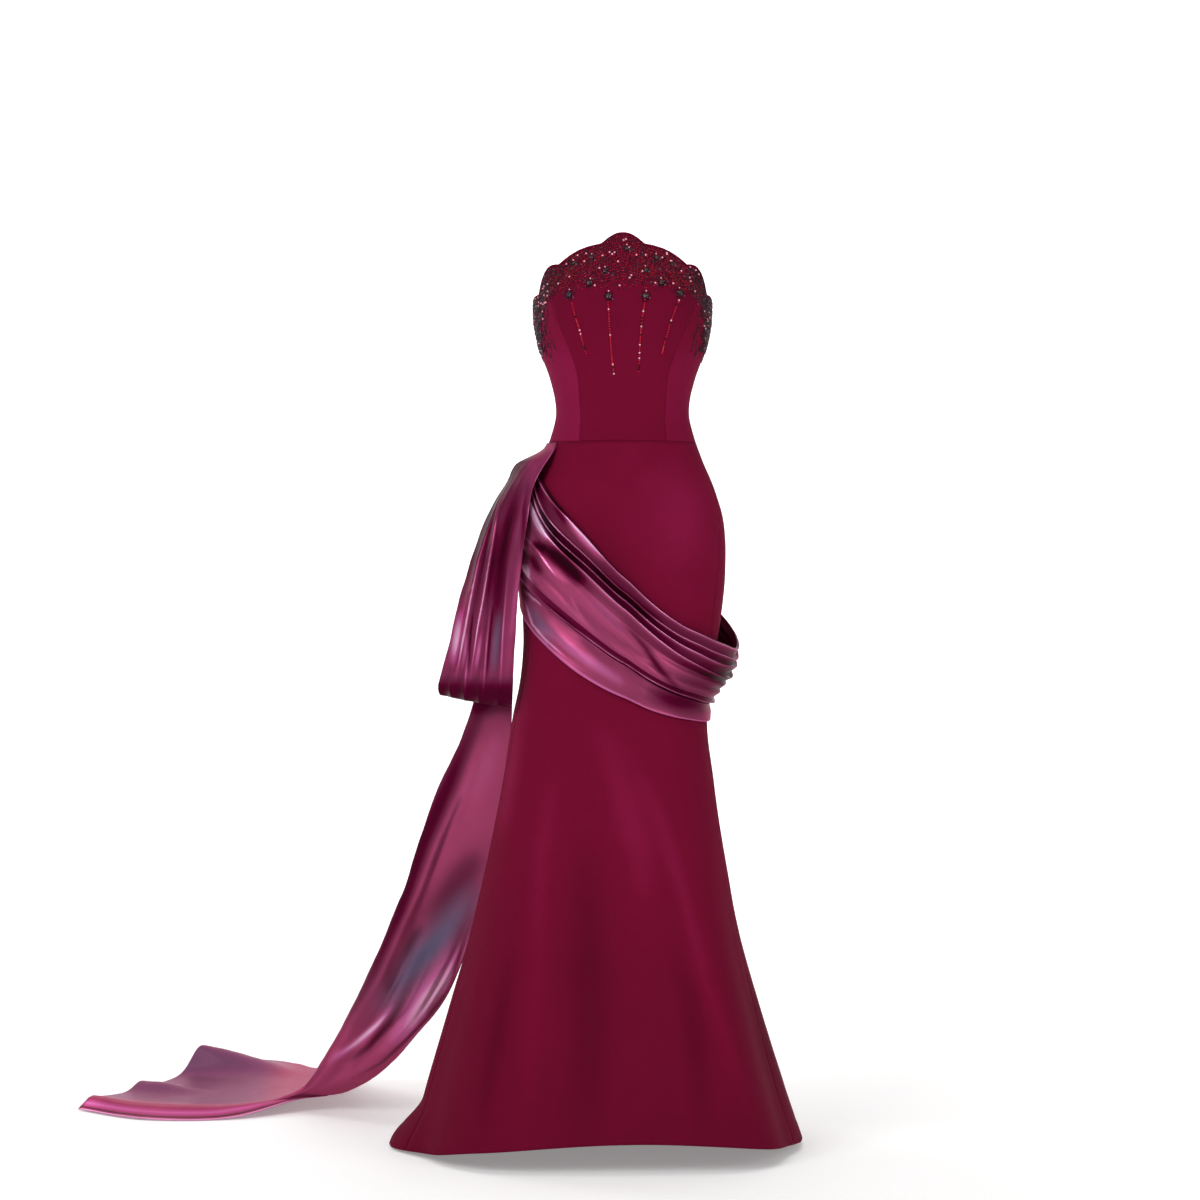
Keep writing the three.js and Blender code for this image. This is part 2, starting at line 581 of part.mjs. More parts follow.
function train() {
  const step = 0.002;
  const at = (u, v) => {
    const across = trainSheet(u + step, v).sub(trainSheet(u - step, v));
    const onward = trainSheet(u, v + step).sub(trainSheet(u, v - step));
    let out = 0;
    for (const ridge of TRAIN_RIDGES) {
      const fade = ridge.gone ? 1 - ease(ridge.full, ridge.gone, v) : 1;
      out += ridge.out * bell(u - ridge.across, ridge.spread) * ease(ridge.from, ridge.full, v) * fade;
    }
    return trainSheet(u, v).addScaledVector(onward.cross(across).normalize(), out);
  };
  return freeCloth("train", TRAIN_ACROSS, shares(TRAIN_ROWS), at, SATIN);
}

// Stones: small domes with a petalled edge, each square to the cloth that it is sewn to
function flowerStone(name, x, z, size) {
  let low = -60;
  let high = 60;
  while (high - low > 0.001) {
    const middle = (low + high) / 2;
    if (outside(middle, z).x < x) low = middle;
    else high = middle;
  }
  const out = normalAt(low, z);
  const right = new THREE.Vector3(0, 0, 1).cross(out).normalize();
  const up = out.clone().cross(right);
  const centre = layered(low, z, FLOWER.clear);
  const place = (along, rise, height) => {
    const level = centre.clone().addScaledVector(out, height);
    return level.addScaledVector(right, along).addScaledVector(up, rise);
  };
  const ring = (share, height) => Array.from({ length: FLOWER.points }, (_, i) => {
    const turn = (2 * Math.PI * i) / FLOWER.points;
    const notch = (FLOWER.petalDepth * (1 - Math.cos(FLOWER.petals * turn))) / 2;
    const radius = share * size * 0.5 * (1 - notch);
    return place(radius * Math.sin(turn), radius * Math.cos(turn), height);
  });
  const height = size * FLOWER.height;
  const shoulder = ring(FLOWER.shoulder, FLOWER.shoulderHeight * height);
  const points = [place(0, 0, 0), ...ring(1, 0), ...shoulder, place(0, 0, height)];
  const faces = [];
  const count = FLOWER.points;
  for (let i = 0; i < count; i += 1) {
    const a = 1 + i;
    const b = 1 + ((i + 1) % count);
    faces.push(0, a, b);
    faces.push(a, a + count, b, b, a + count, b + count);
    faces.push(a + count, 2 * count + 1, b + count);
  }
  const geometry = new THREE.BufferGeometry();
  const positions = points.flatMap((point) => point.toArray());
  geometry.setAttribute("position", new THREE.Float32BufferAttribute(positions, 3));
  geometry.setIndex(faces);
  geometry.computeVertexNormals();
  const mesh = new THREE.Mesh(geometry, new THREE.MeshStandardMaterial(STONE));
  mesh.name = name;
  return mesh;
}

function stones() {
  return FLOWERS.map(({ x, z, size }, i) => {
    return flowerStone(`stone_${String(i + 1).padStart(2, "0")}`, x, z, size);
  });
}

// Zip: a slider with a bridge at the top of the centre back, and the pull that swings on it
function outlined(points) {
  const shape = new THREE.Shape();
  points.forEach(([x, y], i) => (i === 0 ? shape.moveTo(x, y) : shape.lineTo(x, y)));
  return shape;
}

const rectangle = (x0, y0, x1, y1) => outlined([[x0, y0], [x1, y0], [x1, y1], [x0, y1]]);

function zip() {
  const back = layered(CENTRE_BACK, ZIP.top, ZIP.clear).y;
  const metal = () => new THREE.MeshStandardMaterial(ZIP_METAL);
  const half = ZIP.height / 2;
  const profile = rectangle(-half, 0, half, ZIP.plate + ZIP.gap + ZIP.beam);
  profile.holes.push(rectangle(-half + ZIP.post, ZIP.plate, half - ZIP.post, ZIP.plate + ZIP.gap));
  const sliderShape = new THREE.ExtrudeGeometry(profile, { depth: ZIP.width, bevelEnabled: false });
  sliderShape.translate(0, 0, -ZIP.width / 2);
  const slider = new THREE.Mesh(sliderShape, metal());
  slider.name = "zip_slider";
  slider.rotation.set(0, Math.PI / 2, 0);
  slider.position.set(0, back, ZIP.top);

  const barTop = PULL.bar / 2;
  const plate = rectangle(-PULL.width / 2, barTop - PULL.length, PULL.width / 2, barTop);
  const inner = PULL.width / 2 - PULL.side;
  plate.holes.push(rectangle(-inner, -PULL.window, inner, -PULL.bar / 2));
  const pullShape = new THREE.ExtrudeGeometry(plate, { depth: PULL.thick, bevelEnabled: false });
  pullShape.translate(0, 0, -PULL.thick / 2);
  const pull = new THREE.Mesh(pullShape, metal());
  pull.name = "zip_pull";
  pull.rotation.set(Math.PI / 2, 0, 0);
  pull.position.set(0, back + ZIP.plate + ZIP.gap / 2, ZIP.top + PULL.lower);
  return [slider, pull];
}

const group = new THREE.Group();
group.add(...bodice(), ...skirt(), sash(), loop(), train(), ...stones(), ...zip());

export default group;
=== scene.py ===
"""A strapless evening gown of wine crepe with a plum satin drape and a beaded neckline.

Tables and functions are in millimetres, with +Z up and the front facing -Y. Angles are in degrees
round the gown: 0 is the front, 90 the side on +X and -90 the side on -X.
"""
import math
import random

import bmesh
import bpy
import numpy as np
from mathutils import Matrix, Vector


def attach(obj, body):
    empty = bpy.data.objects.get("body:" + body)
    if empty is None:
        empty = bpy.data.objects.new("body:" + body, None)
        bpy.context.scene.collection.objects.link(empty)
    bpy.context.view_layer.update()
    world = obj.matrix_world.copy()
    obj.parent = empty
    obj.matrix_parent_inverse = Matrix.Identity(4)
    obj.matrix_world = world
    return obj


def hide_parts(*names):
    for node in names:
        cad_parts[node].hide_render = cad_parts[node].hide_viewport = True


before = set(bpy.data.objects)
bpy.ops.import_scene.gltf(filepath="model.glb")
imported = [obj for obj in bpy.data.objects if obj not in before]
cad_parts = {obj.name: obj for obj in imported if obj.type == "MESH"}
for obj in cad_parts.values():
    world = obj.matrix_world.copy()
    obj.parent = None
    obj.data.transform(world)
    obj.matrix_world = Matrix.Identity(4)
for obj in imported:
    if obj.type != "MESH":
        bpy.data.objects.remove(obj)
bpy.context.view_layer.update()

bl_info = {
    "name": "Evening Gown",
    "version": (1, 0, 0),
    "blender": (4, 5, 0),
    "location": "3D View > Sidebar > Gown",
    "description": "Crepe gown with a satin sash, loop and train, and a beaded neckline",
    "category": "Add Mesh",
}

MM = 0.001

# Sizes shared with the pattern of the gown

WAIST_SEAM = -46
FLOOR = -1195
SEAM_GAP = 0.3
# Panels sewn side to side meet closely enough to let no light through.
SEWN_GAP = 0.05
CENTRE_BACK = 180
SECTION_POWER = 2.15


def mix(a, b, share):
    return a + (b - a) * share


def power(value, exponent):
    return np.sign(value) * np.abs(value) ** exponent


def bell(distance, spread):
    return np.exp(-((distance / spread) ** 2))


def turn_between(a, b):
    return np.abs((a - b + 540) % 360 - 180)


def ease(low, high, value):
    share = np.clip((value - low) / (high - low), 0, 1)
    return share * share * (3 - 2 * share)


def unit(vectors):
    lengths = np.linalg.norm(vectors, axis=-1, keepdims=True)
    return vectors / np.maximum(lengths, 1e-9)


def curve(xs, ys):
    """A smooth curve through the values ys at the places xs."""
    order = np.argsort(xs)
    x = np.asarray(xs, dtype=float)[order]
    y = np.asarray(ys, dtype=float)[order]
    widths = np.diff(x)
    slopes = np.diff(y) / widths
    inner = (slopes[:-1] * widths[1:] + slopes[1:] * widths[:-1]) / (widths[:-1] + widths[1:])
    tangents = np.concatenate([slopes[:1], inner, slopes[-1:]])

    def value(at):
        i = np.searchsorted(x[1:-1], at, side="left")
        width = x[i + 1] - x[i]
        t = np.clip((at - x[i]) / width, 0, 1)
        bends = tangents[i] * (1 - t) - tangents[i + 1] * t
        return mix(y[i], y[i + 1], t * t * (3 - 2 * t)) + width * t * (1 - t) * bends

    return value


def curves(names, rows):
    """Smooth curves through a table: each later column against the first one."""
    table = np.array(rows, dtype=float)
    return {name: curve(table[:, 0], table[:, i + 1]) for i, name in enumerate(names[1:])}


# The outside of the gown at each height: half widths to each side, depths before and behind.
FIGURE = curves(("z", "left", "right", "front", "back"), [
    (310, 144, 144, 95, 98),
    (250, 148, 148, 107, 102),
    (190, 145, 145, 117, 105),
    (145, 143, 143, 118, 103),
    (110, 136, 136, 111, 98),
    (57, 118, 118, 96, 84),
    (24, 110, 110, 88, 76),
    (0, 108.5, 108.5, 85, 72),
    (-33, 116, 116, 88, 78),
    (-73, 130, 130, 97, 92),
    (-110, 146, 146, 104, 110),
    (-155, 161, 161, 110, 127),
    (-204, 168, 168, 113, 137),
    (-253, 168, 168, 114, 139),
    (-310, 164, 163, 114, 134),
    (-370, 162, 154, 115, 129),
    (-430, 167, 143, 118, 130),
    (-490, 178, 138, 123, 137),
    (-600, 195, 149, 136, 160),
    (-720, 220, 167, 153, 192),
    (-850, 251, 191, 176, 236),
    (-980, 288, 225, 204, 290),
    (-1100, 322, 260, 231, 348),
    (-1200, 347, 293, 254, 404),
])
CUP = {"angle": 33, "spread": 21, "z": 168, "height": 50, "out": 13}
CURVED_SEAM = curves(("z", "angle"), [
    (-46, 34.5), (20, 38), (60, 36.5), (95, 38), (140, 42), (190, 49), (250, 53),
])["angle"]
SIDE_SEAM = curves(("z", "angle"), [
    (200, 90), (-46, 82), (-180, 69), (-300, 63), (-409, 69), (-500, 74), (-1195, 81),
])["angle"]
# Scallops of the top edge from the centre front to the side: the angle and height where each
# ends, and how far it rises between.
SCALLOPS = [(12, 267, 18), (42, 235, 5.5), (67, 190, 16), (104, 161, 9)]
BACK_TOP = 150
# Soft flutes of the skirt: angle, spread, how far out, and the height where each begins.
FLUTES = [
    (-36, 17, 17, -560), (4, 20, -9, -620), (43, 16, 18, -560), (74, 13, -10, -640),
    (-72, 12, -10, -640), (104, 14, 14, -620), (127, 11, -18, -600), (150, 14, 24, -560),
    (180, 13, -20, -600), (210, 14, 26, -560), (233, 10, -14, -640), (263, 17, 40, -1110),
]
HEM_LIFT = curves(("angle", "lift"), [
    (-180, 2), (-115, 2), (-86, 3), (-62, 11), (-38, 29), (0, 46), (31, 40), (58, 24), (85, 12),
    (125, 4), (180, 2),
])["lift"]


def relief(angle, z):
    """How far the cups and the flutes stand out of the plain section."""
    out = 0
    for side in (-1, 1):
        turn = bell(turn_between(angle, side * CUP["angle"]), CUP["spread"])
        out = out + CUP["out"] * turn * bell(z - CUP["z"], CUP["height"])
    for at, spread, height, start in FLUTES:
        out = out + height * ease(start, FLOOR, z) * bell(turn_between(angle, at), spread)
    return out


def outside(angle, z):
    """A point on the outside of the gown."""
    angle, z = np.broadcast_arrays(np.asarray(angle, dtype=float), np.asarray(z, dtype=float))
    sine = np.sin(np.radians(angle))
    cosine = np.cos(np.radians(angle))
    half = np.where(sine < 0, FIGURE["left"](z), FIGURE["right"](z))
    depth = np.where(cosine > 0, FIGURE["front"](z), FIGURE["back"](z))
    out = relief(angle, z)
    x = half * power(sine, 2 / SECTION_POWER) + out * sine
    y = -depth * power(cosine, 2 / SECTION_POWER) - out * cosine
    return np.stack([x, y, z], axis=-1)


def normal_at(angle, z):
    turn = outside(angle + 0.5, z) - outside(angle - 0.5, z)
    rise = outside(angle, z + 1) - outside(angle, z - 1)
    return unit(np.cross(turn, rise))


def layered(angle, z, out):
    """A point moved out from the outside of the gown, square to it."""
    return outside(angle, z) + normal_at(angle, z) * np.asarray(out, dtype=float)[..., None]


def hem_at(angle):
    return FLOOR + HEM_LIFT(np.where(angle > CENTRE_BACK, angle - 360, angle))


def top_edge(angle):
    turn = turn_between(np.asarray(angle, dtype=float), 0)
    start_at, start_z = SCALLOPS[0][:2]
    height = mix(SCALLOPS[-1][1], BACK_TOP, ease(SCALLOPS[-1][0], CENTRE_BACK, turn))
    low_at, low_z = -start_at, start_z
    for to, z, rise in SCALLOPS:
        share = np.clip((turn - low_at) / (to - low_at), 0, 1)
        inside = (turn >= low_at) & (turn <= to)
        height = np.where(inside, mix(low_z, z, share) + rise * np.sin(np.pi * share), height)
        low_at, low_z = to, z
    return height


def half_gap(angle, z):
    width = np.linalg.norm(outside(angle + 0.5, z) - outside(angle - 0.5, z), axis=-1)
    return 0.5 * SEWN_GAP / width


def front_angle(x, z):
    """The angle of the point on the front of the gown at a distance from its centre line."""
    low = np.full(np.shape(x), -89.0)
    high = np.full(np.shape(x), 89.0)
    for _ in range(24):
        middle = (low + high) / 2
        short = outside(middle, z)[..., 0] < x
        low = np.where(short, middle, low)
        high = np.where(short, high, middle)
    return low


# Fine form of the cloth

# How a crease is seen: the two axes it is drawn on, then the axis and direction it faces.
SEEN_FROM = {
    "front": (0, 2, 1, -1),
    "back": (0, 2, 1, 1),
    "left": (1, 2, 0, -1),
    "right": (1, 2, 0, 1),
    "ground": (0, 1, 2, 0),
}


def nearest_on_path(seen, nodes):
    """How far each point is from a path, and the share of the path where it is nearest."""
    lengths = np.linalg.norm(np.diff(nodes, axis=0), axis=1)
    nearest = np.full(seen.shape[:-1], np.inf)
    along = np.zeros(seen.shape[:-1])
    done = 0.0
    for i, length in enumerate(lengths):
        step = nodes[i + 1] - nodes[i]
        share = np.clip(((seen - nodes[i]) @ step) / length ** 2, 0, 1)
        away = np.linalg.norm(seen - nodes[i] - share[..., None] * step, axis=-1)
        closer = away < nearest
        nearest = np.where(closer, away, nearest)
        along = np.where(closer, (done + share * length) / lengths.sum(), along)
        done += length
    return nearest, along


def crease_relief(points, creases, sharp=False):
    """How far the listed creases stand out: by the side they face, a width, height and path each.

    A sharp crease comes to a thin crest, as the edge of a pleat does.
    """
    out = np.zeros(points.shape[:-1])
    for facing, group in creases.items():
        first, second, axis, sign = SEEN_FROM[facing]
        seen = np.stack([points[..., first], points[..., second]], axis=-1)
        faces = ease(-6, 6, sign * points[..., axis]) if sign else 1.0
        for width, height, path in group:
            nearest, along = nearest_on_path(seen, np.array(path, dtype=float))
            # A crease fades towards both of its ends.
            taper = np.sin(np.pi * np.clip(along, 0.02, 0.98)) ** 0.7
            shape = np.exp(-nearest / width) if sharp else bell(nearest, width)
            out = out + height * shape * taper * faces
    return out


def ripple(points, seed, length, height):
    """A slow uneven swell: a few waves of like length that run in many directions."""
    rng = np.random.default_rng(seed)
    out = np.zeros(points.shape[:-1])
    for _ in range(7):
        way = unit(rng.normal(size=3))
        wave = 2 * np.pi / (length * rng.uniform(0.7, 1.6))
        out += np.sin(points @ way * wave + rng.uniform(0, 2 * np.pi))
    return height * out / 3


def grid_normals(points):
    """The outward direction at each point of a grid."""
    along = np.gradient(points, axis=1)
    onward = np.gradient(points, axis=0)
    return unit(np.cross(onward, along))


def take_mesh(bm, name):
    """The mesh that a bmesh holds."""
    mesh = bpy.data.meshes.new(name)
    bm.to_mesh(mesh)
    bm.free()
    return mesh


def add_object(name, data):
    made = bpy.data.objects.new(name, data)
    bpy.context.scene.collection.objects.link(made)
    return made


def finish_piece(piece, material):
    """Dress a piece, and make it move with the gown."""
    piece.data.materials.append(material)
    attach(piece, "gown")


def cloth(name, size, place, fine, thickness, material, tones=None):
    """A sheet of cloth: a flat grid moved to its place, with its creases, and then thickened."""
    columns, rows = size
    bm = bmesh.new()
    bm.loops.layers.uv.new("UVMap")
    bmesh.ops.create_grid(bm, x_segments=columns, y_segments=rows, size=0.5, calc_uvs=True)
    mesh = take_mesh(bm, name)
    flat = np.empty(len(mesh.vertices) * 3)
    mesh.vertices.foreach_get("co", flat)
    flat = flat.reshape(-1, 3)
    i = np.rint((flat[:, 0] + 0.5) * columns).astype(int)
    j = np.rint((0.5 - flat[:, 1]) * rows).astype(int)
    u, v = np.meshgrid(np.linspace(0, 1, columns + 1), np.linspace(0, 1, rows + 1))
    points = place(u, v)
    points = points + grid_normals(points) * fine(points, u, v)[..., None]
    mesh.vertices.foreach_set("co", (points[j, i] * MM).ravel())
    for tone, values in (tones(points, u, v) if tones else {}).items():
        layer = mesh.attributes.new(tone, "FLOAT", "POINT")
        layer.data.foreach_set("value", values[j, i].ravel())
    mesh.update()
    mesh.shade_smooth()
    piece = add_object(name, mesh)
    wall = piece.modifiers.new("Cloth thickness", "SOLIDIFY")
    wall.thickness = thickness * MM
    wall.offset = -1
    finish_piece(piece, material)
    return piece


# Materials

def linear(hex_colour):
    """An sRGB hex colour as linear red, green, blue and alpha."""
    values = [int(hex_colour[i:i + 2], 16) / 255 for i in (1, 3, 5)]
    straight = [v / 12.92 if v <= 0.04045 else ((v + 0.055) / 1.055) ** 2.4 for v in values]
    return (*straight, 1.0)


def add(tree, kind, inputs=None, **settings):
    """Add a node with its settings, and set or link its inputs."""
    made = tree.nodes.new(kind)
    for name, value in settings.items():
        setattr(made, name, value)
    for name, value in (inputs or {}).items():
        if isinstance(value, bpy.types.NodeSocket):
            tree.links.new(value, made.inputs[name])
        else:
            made.inputs[name].default_value = value
    return made


def new_material(name):
    """An empty node material with its output, or the one already made by this name."""
    material = bpy.data.materials.get(name)
    if material and material.use_nodes and material.node_tree.nodes.get("Surface"):
        return material, None
    material = bpy.data.materials.new(name)
    material.use_nodes = True
    material.node_tree.nodes.clear()
    return material, material.node_tree


def ramp(tree, share, stops, interpolation="LINEAR"):
    """The colour that a share gives. Each stop has a position and a hex or linear colour."""
    made = add(tree, "ShaderNodeValToRGB", {"Fac": share})
    made.color_ramp.interpolation = interpolation
    elements = made.color_ramp.elements
    while len(elements) < len(stops):
        elements.new(1.0)
    for element, (position, colour) in zip(elements, stops):
        element.position = position
        element.color = linear(colour) if isinstance(colour, str) else colour
    return made.outputs["Color"]


def object_place(tree):
    return add(tree, "ShaderNodeTexCoord").outputs["Object"]


def attribute(tree, name):
    """What the mesh carries under this name."""
    made = add(tree, "ShaderNodeAttribute", attribute_name=name, attribute_type="GEOMETRY")
    return made.outputs["Fac"]


def noise(tree, size, detail, roughness=0.5):
    """Uneven grain of a size in mm, on object coordinates."""
    return add(tree, "ShaderNodeTexNoise", {
        "Vector": object_place(tree), "Scale": 1 / (size * MM), "Detail": detail,
        "Roughness": roughness,
    }).outputs["Fac"]


def blend(tree, share, first, second):
    """A value between two others."""
    made = add(tree, "ShaderNodeMix", {"Factor": share, 2: first, 3: second}, data_type="FLOAT")
    return made.outputs[0]


def bump(tree, height, strength, distance):
    """A normal that leans with a height. The distance is in mm."""
    return add(tree, "ShaderNodeBump", {
        "Height": height, "Strength": strength, "Distance": distance * MM,
    }).outputs["Normal"]


def set_surface(tree, inputs):
    shader = add(tree, "ShaderNodeBsdfPrincipled", inputs, name="Surface")
    add(tree, "ShaderNodeOutputMaterial", {"Surface": shader.outputs["BSDF"]})


def shaded(colour, share):
    """A linear colour made darker or lighter."""
    return (*[min(1.0, c * share) for c in colour[:3]], 1.0)


def crepe_material(gown):
    """Wool-silk crepe, woven from overtwisted yarn: a dry matt face with a fine pebbled grain."""
    material, tree = new_material("Wine crepe")
    if tree is None:
        return material
    # The pebbles of a crepe are under 1 mm; they are drawn at 2.2 mm so that they can be seen.
    pebbles = noise(tree, 2.2, 2.0, 0.6)
    # Slow patches where the nap lies a little differently, about 120 mm across.
    patches = noise(tree, 120, 3.0, 0.55)
    # The painted light and shade that each piece carries, mixed with the patches and the grain.
    painted_light_and_grain = blend(tree, 0.28, attribute(tree, "nap"), blend(tree, 0.4, patches, pebbles))
    crepe = tuple(gown.crepe_colour)
    # Stops of painted shade below the crepe's own colour, and of painted light above it.
    shades = [(0.1, shaded(crepe, 0.62)), (0.45, crepe), (0.9, "#8f1d4a")]
    set_surface(tree, {
        "Base Color": ramp(tree, painted_light_and_grain, shades), "Roughness": 0.82, "IOR": 1.45,
        "Specular IOR Level": 0.04, "Sheen Weight": 0.02, "Sheen Roughness": 0.5,
        "Sheen Tint": linear("#b03a70"), "Normal": bump(tree, pebbles, gown.grain_strength, 0.4),
    })
    return material


# The painted blue sheen that satin shows where its floats turn away from the light.
BLUE_SHEEN = linear("#6a5a78")


def satin_material(gown, name, colour, painted_sheen_colour):
    """Heavy duchess satin: long floats of filament yarn that give broad, tinted highlights."""
    material, tree = new_material(name)
    if tree is None:
        return material
    fold = attribute(tree, "fold")
    # Faint drags in the filament, about 14 mm apart.
    drags = noise(tree, 14, 3.0, 0.6)
    # Painted shade and highlights: the fold tone sinks to near black where the floats turn away,
    # and gleams pale where they face out.
    depth = ramp(tree, fold, [
        (0.0, "#2a0310"), (0.28, "#56082b"), (0.5, shaded(colour, 0.5)), (0.72, colour),
        (0.87, "#c06096"), (1.0, "#e8b2d2"),
    ])
    # Where the mesh asks for it, the painted blue sheen is mixed in.
    tint = add(tree, "ShaderNodeMix", {
        "Factor": attribute(tree, "twist"), 6: depth, 7: painted_sheen_colour,
    }, data_type="RGBA")
    rough = add(tree, "ShaderNodeMapRange", {
        "Value": drags, "To Min": gown.satin_roughness - 0.05,
        "To Max": gown.satin_roughness + 0.05,
    })
    # Where the fold tone paints deep shade the gloss has nothing pale to mirror, so the colour
    # there is soft.
    gloss = add(tree, "ShaderNodeMapRange", {
        "Value": fold, "From Min": 0.3, "From Max": 0.74, "To Min": 0, "To Max": 0.5,
    })
    set_surface(tree, {
        "Base Color": tint.outputs[2], "Roughness": rough.outputs["Result"], "IOR": 1.5,
        "Metallic": gloss.outputs["Result"], "Specular IOR Level": 0.04,
        "Specular Tint": linear("#c8508c"), "Normal": bump(tree, drags, 0.2, 0.5),
    })
    return material


def bead_material(gown):
    """Cut glass seed beads, clear-lined or lustred: small hard glints in mixed wines."""
    material, tree = new_material("Cut glass beads")
    if tree is None:
        return material
    # The palest tone, a pale pink, is a painted glint.
    colour = ramp(tree, attribute(tree, "tone"), [
        (0.0, "#0e0407"), (0.3, "#2e0615"), (0.52, "#6e0a26"), (0.66, "#b80f2c"),
        (0.76, "#2c1838"), (0.86, "#655a70"), (0.94, "#ffb4c6"),
    ], "CONSTANT")
    set_surface(tree, {
        "Base Color": colour, "Roughness": 0.3, "IOR": 1.5, "Specular IOR Level": 0.3,
    })
    return material


def stone_material(gown):
    """Foil-backed crystal: dark facets, some with painted glints of wine and violet."""
    material, tree = new_material("Foiled crystal")
    if tree is None:
        return material
    facets = add(tree, "ShaderNodeTexVoronoi", {
        "Vector": object_place(tree), "Scale": 1 / (2.4 * MM),
    })
    # Most facets are near black; the wine and blue-grey ones are painted glints.
    colour = ramp(tree, facets.outputs["Color"], [
        (0.0, "#070305"), (0.5, "#1a0614"), (0.7, "#4c0c26"), (0.86, "#3d3856"),
    ], "CONSTANT")
    set_surface(tree, {
        "Base Color": colour, "Roughness": 0.14, "IOR": 1.5, "Metallic": 0.3, "Coat Weight": 0.3,
        "Coat Roughness": 0.05, "Normal": bump(tree, facets.outputs["Distance"], 0.6, 1.0),
    })
    return material


def zip_material(gown):
    """Enamelled zinc die casting: wine enamel, a little uneven, and worn brighter in patches."""
    material, tree = new_material("Wine enamel on zinc")
    if tree is None:
        return material
    set_surface(tree, {
        "Base Color": ramp(tree, noise(tree, 2.5, 4.0), [(0.45, "#5a0f2c"), (0.72, "#7f3a50")]),
        "Roughness": 0.32, "Metallic": 0.4, "Coat Weight": 0.5, "Coat Roughness": 0.15,
    })
    return material


# Bodice

def panel_place(low, high, top, bottom):
    """Where a panel between two seams and two edges lies, for shares across and down it."""
    def at(u, v):
        z = mix(top(0.0), bottom(0.0), v)
        angle = u * 0.0
        for _ in range(4):
            first = low(z)
            last = high(z)
            angle = mix(first + half_gap(first, z), last - half_gap(last, z), u)
            z = mix(top(angle), bottom(angle), v)
        return layered(angle, z, np.zeros(np.shape(z)))
    return at


def seam_trough(points, u, depth, reach):
    """The dip beside the seams at a panel's two sides."""
    widths = np.linalg.norm(np.diff(points, axis=1), axis=-1).sum(axis=1)[:, None]
    return -depth * (bell(u * widths, reach) + bell((1 - u) * widths, reach))


# Soft drags in the bodice, by the side they face: width, height, and path in mm.
BODICE_CREASES = {
    "front": [
        (9, -0.9, [(-108, -28), (-84, -18), (-60, -16), (-38, -22)]),
        (8, 0.7, [(-106, -6), (-82, 4), (-60, 6)]),
        (10, -0.8, [(104, -30), (82, -20), (58, -19), (40, -25)]),
        (8, 0.6, [(102, -4), (80, 6), (56, 5)]),
        (7, -0.5, [(-20, -30), (4, -26), (26, -31)]),
        (14, 0.9, [(-66, 60), (-58, 20), (-60, -20)]),
        (14, 0.8, [(64, 58), (57, 18), (61, -22)]),
    ],
    "back": [
        (9, -0.9, [(-98, -20), (-70, -10), (-40, -14)]),
        (9, -0.8, [(96, -24), (66, -13), (36, -16)]),
        (8, 0.7, [(-94, 8), (-66, 18), (-38, 13)]),
        (8, 0.6, [(92, 4), (62, 15), (34, 12)]),
        (7, -0.6, [(-74, 44), (-50, 50), (-24, 46)]),
        (7, -0.5, [(70, 40), (48, 47), (22, 44)]),
    ],
}


def waist_above(angle):
    return WAIST_SEAM + SEAM_GAP / 2 + 0 * np.asarray(angle)


def centre_back(z):
    return CENTRE_BACK + 0 * z


def mirrored(seam):
    """The same seam on the side on -X."""
    return lambda z: -seam(z)


BODICE_ROWS = 96


def make_bodice(gown):
    """Five crepe panels over boning, joined by curved seams."""
    crepe = crepe_material(gown)
    seam, side, back = CURVED_SEAM, SIDE_SEAM, centre_back
    # Name, the two seams, columns of the grid, cut size and area in metres, and the painted light
    # of each panel: paler on the side fronts and the backs than on the front, most on the side
    # front on -X.
    panels = [
        ("front", mirrored(seam), seam, 84, (0.26, 0.35), 0.07, 0.36),
        ("side_front_left", mirrored(side), mirrored(seam), 34, (0.1, 0.3), 0.027, 0.74),
        ("side_front_right", seam, side, 34, (0.1, 0.3), 0.027, 0.56),
        ("back_left", mirrored(back), mirrored(side), 60, (0.2, 0.245), 0.042, 0.55),
        ("back_right", side, back, 60, (0.2, 0.245), 0.042, 0.5),
    ]

    def fine(points, u, v):
        out = seam_trough(points, u, 0.5, 2.2) + ripple(points, 3, 70, 0.18)
        return out + crease_relief(points, BODICE_CREASES)

    for name, low, high, columns, flat, area, nap in panels:
        # The painted tone is darker towards the bust.
        def tones(points, u, v, nap=nap):
            return {"nap": nap - 0.3 * nap * ease(60, 150, points[..., 2])}

        piece = cloth(
            f"bodice_{name}_crepe", (columns, BODICE_ROWS),
            panel_place(low, high, top_edge, waist_above), fine, gown.bodice_cloth / MM, crepe,
            tones,
        )
        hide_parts(f"bodice_{name}")


# Neckline

# The shares of the facing's width that lie on each side of the cloth and over its edge, how far it
# stands off the cloth and rises over the edge, and the angle between each end and the zip.
FACING = {"side": 0.35, "edge": 0.3, "off": 0.75, "rise": 1.0, "open": 0.15, "thickness": 0.6}


def make_neckline(gown):
    """A narrow facing turned over the top edge."""
    reach = gown.facing_depth / MM
    inside = gown.bodice_cloth / MM

    def place(u, v):
        angle = mix(-CENTRE_BACK + FACING["open"], CENTRE_BACK - FACING["open"], u)
        turn = np.pi * np.clip((v - FACING["side"]) / FACING["edge"], 0, 1)
        drop = reach * np.maximum(0, np.abs(v - 0.5) - FACING["edge"] / 2) / FACING["side"]
        out = -inside / 2 + (inside / 2 + FACING["off"]) * np.cos(turn)
        return layered(angle, top_edge(angle) - drop + FACING["rise"] * np.sin(turn), out)

    piece = cloth(
        "neckline_facing", (520, 14), place, lambda points, u, v: ripple(points, 8, 9, 0.12),
        FACING["thickness"], crepe_material(gown),
    )


# Skirt

